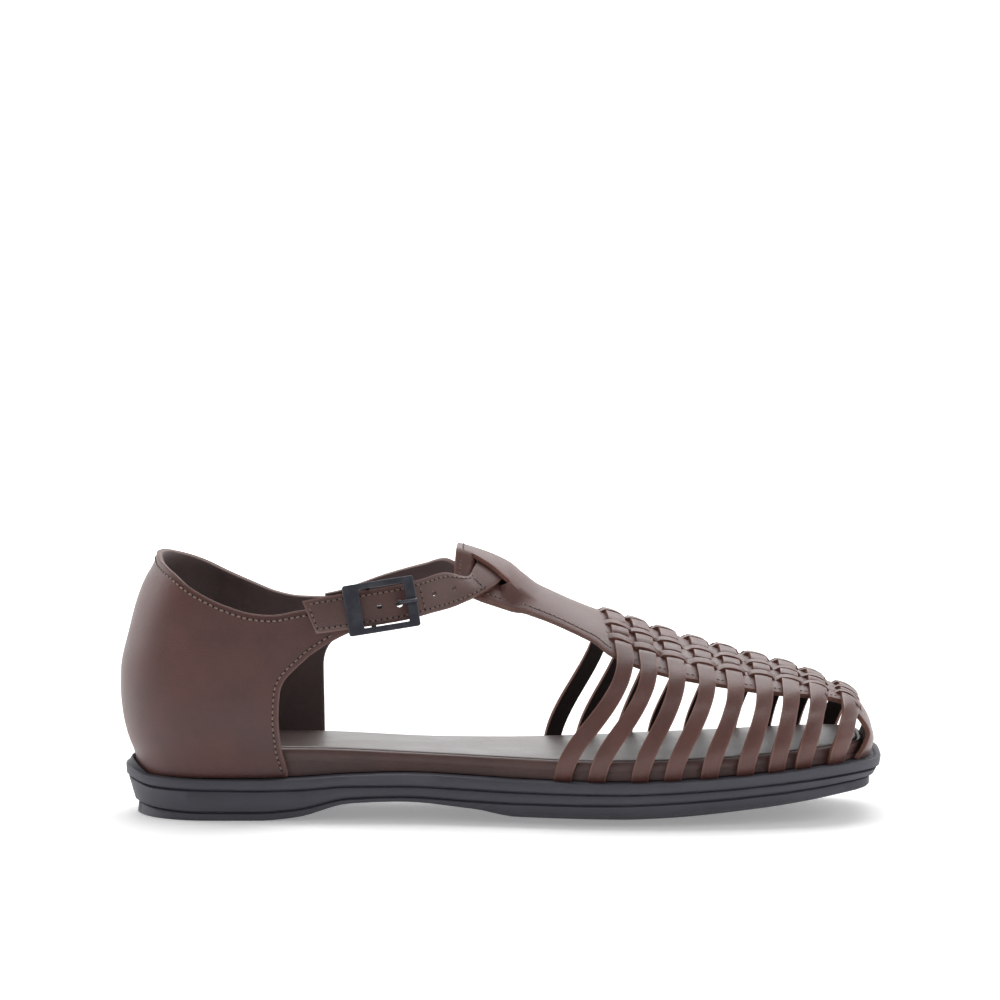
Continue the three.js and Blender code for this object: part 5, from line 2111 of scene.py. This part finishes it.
@dataclass
class Strap:
    """The ankle strap, its holes and stitches, and the buckle on it."""

    palette: Palette
    counter: Counter
    strap_gap: float = 0.4
    strap_hole: float = 1.8
    hole_pitch: float = 7.0
    buckle_length: float = 24.0
    buckle_height: float = 17.0
    buckle_bar: float = 3.4
    buckle_plate: float = 5.2
    buckle_rail: float = 2.0
    buckle_depth: float = 2.0
    buckle_clear: float = 0.7
    hinge_clear: float = 0.75
    hinge_radius: float = 1.1
    hinge_place: float = -3.0
    prong_width: float = 2.0
    prong_thickness: float = 1.4
    prong_hole_place: float = 6.3
    prong_hole: float = 2.5
    sewn_end: float = 0.012
    head_seam: float = 0.4665
    far_seam: tuple[float, float] = (0.69, 0.985)
    steps: int = 170
    columns: int = 9

    def __post_init__(self) -> None:
        """Makes the three lines along the strap and the buckle's place on it."""
        rows = [
            *self.beside(STRAP_LATERAL, Side.LATERAL),
            *self.on_head(),
            *self.beside(STRAP_MEDIAL, Side.MEDIAL),
        ]
        self.lines = [Spline([row[j] for row in rows]) for j in range(3)]
        self.buckle = self.pose(self.at_x(place(BUCKLE_AT)))

    def beside(self, table: Table, side: Side) -> list[list[Vector]]:
        """Rows beside the counter and the free run ahead of it.

        Args:
            table: Place, height, lean and draw of each row.
            side: The shoe's side.

        Returns:
            Rows of three points, from the upper edge to the lower.
        """
        rows = []
        columns = (table[key] for key in ("at", "rise", "lean", "draw"))
        for at, rise, lean, draw in zip(*columns, strict=True):
            x = place(at)
            turn = math.radians(lean)
            narrow = 1 - self.counter.front_draw * clamp((x - LAST.back) / (SIZE.length * 0.25))
            row = []
            for j in (-1, 0, 1):
                reach = j * SIZE.strap_width / 2
                z = rise * SIZE.collar - math.cos(turn) * reach
                wall = self.counter.half(z / SIZE.collar) * narrow
                away = wall + self.strap_gap + SIZE.strap / 2 - draw * SIZE.heel_width
                row.append(Vector((x + math.sin(turn) * reach, side * away, z)))
            rows.append(row)
        return rows

    def on_head(self) -> list[list[Vector]]:
        """Rows over the T-bar's dipped head.

        Returns:
            Rows of three points, from the upper edge to the lower.
        """
        lift = SIZE.vamp - SIZE.head_dip + SIZE.strap_clear + SIZE.strap / 2
        rows = []
        columns = (STRAP_HEAD[key] for key in ("at", "across", "forward", "aside"))
        for at, across, forward, aside in zip(*columns, strict=True):
            row = []
            for j in (-1, 0, 1):
                reach = j * SIZE.strap_width / 2
                x = place(at) + forward * reach
                y = across * SIZE.ball_width + aside * reach
                row.append(LAST.over(x, y) + LAST.normal(x, y, 0.5) * lift)
            rows.append(row)
        return rows

    def point(self, t: float, s: float) -> Vector:
        """The strap's middle surface at a parameter and a share of its width, 0 at the upper edge."""
        a, b, c = (line(t) for line in self.lines)
        return a * (2 * (s - 0.5) * (s - 1)) + b * (-4 * s * (s - 1)) + c * (2 * s * (s - 0.5))

    def pose(self, t: float) -> Pose:
        """The strap's own frame.

        Args:
            t: Parameter along the strap.

        Returns:
            The pose.
        """
        step = 0.002
        along = (self.lines[1](t + step) - self.lines[1](t - step)).normalized()
        across = (self.lines[0](t) - self.lines[2](t)).normalized()
        out = along.cross(across).normalized()
        return Pose(self.lines[1](t), along, out.cross(along).normalized(), out)

    def at_x(self, x: float) -> float:
        """The parameter at which the lateral run reaches a place along the shoe."""
        return last_true(0.0, 0.55, 30, lambda t: self.lines[1](t).x < x)

    def holes(self) -> list[Pose]:
        """Poses of the prong's hole and the spare holes.

        Returns:
            The prong's hole first.
        """
        first = self.buckle.point(self.prong_hole_place, 0, 0)
        made = [Pose(first, self.buckle.along, self.buckle.up, self.buckle.out)]
        for i in (-1, 1, 2):
            x = first.x + (i * self.hole_pitch + (5 if i > 0 else 0)) * 0.93
            made.append(self.pose(self.at_x(x)))
        return made

    def cutter(self) -> Thing:
        """Pins through all holes, used once and removed.

        Returns:
            The pins as one object.
        """
        bm = bmesh.new()
        for number, pose in enumerate(self.holes()):
            radius = (self.prong_hole if number == 0 else self.strap_hole) / 2
            turn = Matrix((pose.along, pose.up, pose.out)).transposed().to_4x4()
            where = Matrix.Translation(metres(pose.at)) @ turn
            bmesh.ops.create_cone(
                bm,
                cap_ends=True,
                segments=28,
                radius1=radius / 1000,
                radius2=radius / 1000,
                depth=SIZE.strap * 4 / 1000,
                matrix=where,
            )
        return make_object("pins", bm, [self.palette["cut_edge"]], smooth=False)

    def leather(self) -> None:
        """The strap as one bevelled ribbon with real holes."""
        bm = new_mesh()
        grid = [
            [self.point(i / self.steps, j / (self.columns - 1)) for j in range(self.columns)]
            for i in range(self.steps + 1)
        ]
        crown = lifted(grid, lambda i, j: 0.18 * (1 - (2 * j / (self.columns - 1) - 1) ** 4) - 0.1)
        add_grid(bm, crown, end_rims=True)
        faces = self.palette.several("strap_grain", "lining_grain", "folded_edge")
        piece = Piece("strap_leather", Slot.STRAP, faces, ["ankle_strap"])
        made = piece.place(bm)
        piece.thicken(made, SIZE.strap - 0.1, 0, 0.35)
        pins = self.cutter()
        cut = made.modifiers.new("holes", "BOOLEAN")
        cut.operation = "DIFFERENCE"
        cut.solver = "EXACT"
        cut.object = pins
        made.modifiers.move(2, 1)
        graph = bpy.context.evaluated_depsgraph_get()
        baked = bpy.data.meshes.new_from_object(made.evaluated_get(graph), depsgraph=graph)
        made.modifiers.clear()
        made.data = baked
        baked.set_sharp_from_angle(angle=math.radians(42))
        bpy.data.objects.remove(pins)

    def path(self, start: float, stop: float, s: float, out: float) -> Path3:
        """A path along the strap.

        Args:
            start: First parameter.
            stop: Last parameter.
            s: Share of the width, 0 at the upper edge.
            out: Height above the strap's middle.

        Returns:
            Its points and their outward normals.
        """
        points = []
        normals_out = []
        for k in range(121):
            t = mix(start, stop, k / 120)
            pose = self.pose(clamp(t, 0.004, 0.996))
            points.append(self.point(t, s) + pose.out * out)
            normals_out.append(pose.out)
        return points, normals_out

    def across_path(self, t: float, inset: float, out: float) -> Path3:
        """A straight path over the strap.

        Args:
            t: Its parameter.
            inset: Share of the width left free at both ends.
            out: Height above the strap's middle.

        Returns:
            Its points and their outward normals.
        """
        pose = self.pose(clamp(t, 0.004, 0.996))
        points = [self.point(t, mix(inset, 1 - inset, k / 30)) + pose.out * out for k in range(31)]
        return points, [pose.out] * 31

    def seams(self, stitches: Stitcher) -> None:
        """Stitches round the sewn end, along both edges and across behind the buckle.

        Args:
            stitches: Takes the seams.
        """
        face = SIZE.strap / 2 + 0.02
        inset = 1.45 / SIZE.strap_width
        head = self.at_x(place(self.head_seam))
        for s in (inset, 1 - inset):
            stitches.sew(Seam(*self.path(self.sewn_end, head, s, face), 1.95, 1.4, 0.22))
            stitches.sew(Seam(*self.path(*self.far_seam, s, face), 1.95, 1.4, 0.22, holes=False))
        cross = self.at_x(self.buckle.point(self.buckle_length / 2 + 1.6, 0, 0).x)
        for t in (self.sewn_end, cross, head):
            stitches.sew(Seam(*self.across_path(t, inset * 1.6, face), 1.9, 1.35, 0.22))

    def frame_mesh(self) -> Mesh:
        """The buckle's plate with its window.

        Returns:
            The mesh in metres.
        """
        bm = bmesh.new()
        half_l = self.buckle_length / 2
        half_h = self.buckle_height / 2
        bottom = SIZE.strap / 2 + self.buckle_clear
        outer = rounded_box(-half_l, half_l, -half_h, half_h, 0.9)
        window = rounded_box(
            -half_l + self.buckle_plate,
            half_l - self.buckle_bar,
            -half_h + self.buckle_rail,
            half_h - self.buckle_rail,
            0.45,
        )
        edges = []
        for loop in (outer, window):
            circle = bmesh.ops.create_circle(bm, segments=len(loop), radius=1.0)["verts"]
            for v, (x, y) in zip(circle, loop, strict=True):
                v.co = metres(self.buckle.point(x, y, bottom))
            edges += list({edge for v in circle for edge in v.link_edges})
        face = bmesh.ops.bridge_loops(bm, edges=edges)["faces"]
        grown = bmesh.ops.extrude_face_region(bm, geom=face)["geom"]
        upper = [v for v in grown if isinstance(v, bmesh.types.BMVert)]
        bmesh.ops.translate(bm, verts=upper, vec=self.buckle.out * (self.buckle_depth / 1000))
        bmesh.ops.recalc_face_normals(bm, faces=bm.faces)
        return bm

    def metal(self) -> None:
        """Frame, hinge and prong."""
        metal = self.palette["gunmetal_satin"]
        plate = Piece("buckle_plate", Slot.GUNMETAL, [metal], ["buckle_frame"])
        made = plate.place(self.frame_mesh(), 30)
        edge = made.modifiers.new("edge", "BEVEL")
        edge.width = 0.00032
        edge.segments = 3
        edge.limit_method = "ANGLE"
        edge.angle_limit = math.radians(50)
        hinge = -SIZE.strap / 2 - self.hinge_clear - self.hinge_radius
        rail = self.buckle_height / 2 - self.buckle_rail / 2
        middle = SIZE.strap / 2 + self.buckle_clear + self.buckle_depth / 2
        corners = [(-rail, middle), (-rail, hinge + 1.2), (-rail + 0.5, hinge), (rail - 0.5, hinge)]
        corners += [(rail, hinge + 1.2), (rail, middle)]
        path = [self.buckle.point(self.hinge_place, up, out) for up, out in corners]
        bm = new_mesh()
        add_tube(bm, [Spline(path)(k / 60) for k in range(61)], 0.85, 0.85, 14)
        Piece("buckle_hinge", Slot.GUNMETAL, [metal], ["buckle_frame"]).place(bm, 50)
        self.prong(metal, hinge)

    def prong(self, metal: Material, hinge: float) -> None:
        """The prong, from its loop on the hinge bar through the strap to its rest on the front bar.

        Args:
            metal: Its material.
            hinge: Height of the hinge bar's middle over the strap's middle.
        """
        rest = SIZE.strap / 2 + self.buckle_clear + self.buckle_depth + SIZE.fit + self.prong_thickness / 2
        front = self.buckle_length / 2
        bends = [
            (self.hinge_place + 1.3, hinge),
            (self.prong_hole_place - 2.6, hinge),
            (self.prong_hole_place - 0.8, hinge + 1.2),
            (self.prong_hole_place + 0.6, rest - 1.2),
            (self.prong_hole_place + 1.9, rest - 0.1),
            (front - self.buckle_bar + 0.6, rest + 0.25),
            (front - 1.2, rest + 0.15),
            (front - 0.1, rest - 0.1),
        ]
        curve = Spline([self.buckle.point(along, 0, out) for along, out in bends])
        bm = new_mesh()
        path = [curve(k / 56) for k in range(57)]
        add_tube(bm, path, self.prong_width / 2, self.prong_thickness / 2, 14)
        Piece("buckle_tongue", Slot.GUNMETAL, [metal], ["buckle_prong"]).place(bm, 50)

    def build(self, stitches: Stitcher) -> None:
        """Makes strap and buckle.

        Args:
            stitches: Takes the seams.
        """
        self.leather()
        self.metal()
        self.seams(stitches)


def rounded_box(
    left: float, right: float, low: float, high: float, radius: float
) -> list[tuple[float, float]]:
    """Corner points of a rectangle with rounded corners, anticlockwise.

    Args:
        left: Low X.
        right: High X.
        low: Low Y.
        high: High Y.
        radius: Radius of the corners.

    Returns:
        X and Y of each point.
    """
    made = []
    corners = (
        (right - radius, high - radius, 0.0),
        (left + radius, high - radius, 90.0),
        (left + radius, low + radius, 180.0),
        (right - radius, low + radius, 270.0),
    )
    for x, y, start in corners:
        for k in range(6):
            turn = math.radians(start + k * 18)
            made.append((x + radius * math.cos(turn), y + radius * math.sin(turn)))
    return made


@dataclass(frozen=True)
class Studio:
    """Floor, backdrop, lights and the photo's camera."""

    distance: float = 1.3
    elevation: float = 6.6
    view_width: float = 0.342
    aim: tuple[float, float, float] = (0.0006, 0.0, 0.0412)
    shift: tuple[float, float] = (-0.003, 0.19)
    sweep_run: float = 9.0
    sweep_width: float = 12.0
    floor_start: float = -2.5
    floor_end: float = 2.0
    bend: float = 1.57

    def floor(self) -> None:
        """A pale sweep: floor, soft bend and back wall."""
        bm = bmesh.new()
        rows = 40
        made = bmesh.ops.create_grid(bm, x_segments=8, y_segments=rows, size=0.5)["verts"]
        for v in made:
            s = v.co.y + 0.5
            y = self.floor_start + s * self.sweep_run
            x = v.co.x * self.sweep_width
            turn = y - self.floor_end
            if turn < 0:
                v.co = Vector((x, y, 0.0))
            elif turn < self.bend:
                v.co = Vector((x, self.floor_end + math.sin(turn), 1 - math.cos(turn)))
            else:
                v.co = Vector((x, self.floor_end + 1, 1 + turn - self.bend))
        sweep = make_object("sweep", bm, [PaleFinish("pale_paper", (246, 246, 246)).build()])

    @staticmethod
    def light(name: str, at: Sequence[float], to: Sequence[float], size: float, watts: float) -> None:
        """One large soft box.

        Args:
            name: The lamp's name.
            at: Its place in metres.
            to: What it faces.
            size: Edge length in metres.
            watts: Its power.
        """
        data = bpy.data.lights.new(name, "AREA")
        data.shape = "SQUARE"
        data.size = size
        data.energy = watts
        lamp = link(name, data)
        lamp.location = at
        lamp.rotation_euler = (Vector(to) - Vector(at)).to_track_quat("-Z", "Y").to_euler()

    def camera(self) -> None:
        """The camera at the photo's angle to the shoe."""
        data = bpy.data.cameras.new("camera")
        data.sensor_width = 36
        data.lens = 36 * self.distance / self.view_width
        data.shift_x, data.shift_y = self.shift
        data.clip_end = 50
        camera = link("camera", data)
        tilt = math.radians(self.elevation)
        aim = Vector(self.aim)
        camera.location = aim + Vector((0, -math.cos(tilt), math.sin(tilt))) * self.distance
        camera.rotation_euler = (aim - camera.location).to_track_quat("-Z", "Y").to_euler()
        bpy.context.scene.camera = camera

    def build(self) -> None:
        """Makes the studio."""
        self.floor()
        self.light("top", (0.1, 0.55, 1.15), (0.0, 0.0, 0.05), 1.2, 15.0)
        self.light("front", (-0.5, -1.5, 0.95), (0.0, 0.0, 0.04), 1.2, 2.4)
        self.light("right", (1.3, -0.35, 0.7), (0.0, 0.0, 0.04), 0.9, 4.0)
        self.light("left", (-1.2, 0.35, 0.6), (0.0, 0.0, 0.04), 0.8, 5.0)
        bpy.context.scene.view_settings.view_transform = "Standard"
        world = bpy.data.worlds.new("studio")
        world.use_nodes = True
        back = world.node_tree.nodes["Background"]
        back.inputs["Color"].default_value = (1, 1, 1, 1)
        back.inputs["Strength"].default_value = 0.26
        bpy.context.scene.world = world
        self.camera()


@dataclass
class Sandal:
    """The whole shoe."""

    palette: Palette = field(default_factory=Palette)

    def build(self) -> None:
        """Makes every piece."""
        hole = self.palette["needle_hole"]
        brown = self.palette["thread_brown"]
        pale = Stitcher("collar_thread", Slot.COUNTER, self.palette["thread_pale"], hole)
        vamp_thread = Stitcher("vamp_thread", Slot.VAMP, brown, hole)
        strap_thread = Stitcher("strap_thread", Slot.STRAP, brown, hole)
        Bottom(self.palette).build()
        counter = Counter(self.palette)
        counter.build(pale)
        Vamp(self.palette).build(vamp_thread)
        Strap(self.palette, counter).build(strap_thread)
        for stitcher in (pale, vamp_thread, strap_thread):
            stitcher.build()


def main() -> None:
    """Builds the shoe and its studio."""
    logging.basicConfig(level=logging.INFO)
    Sandal().build()
    Studio().build()


if __name__ == "__main__":
    main()
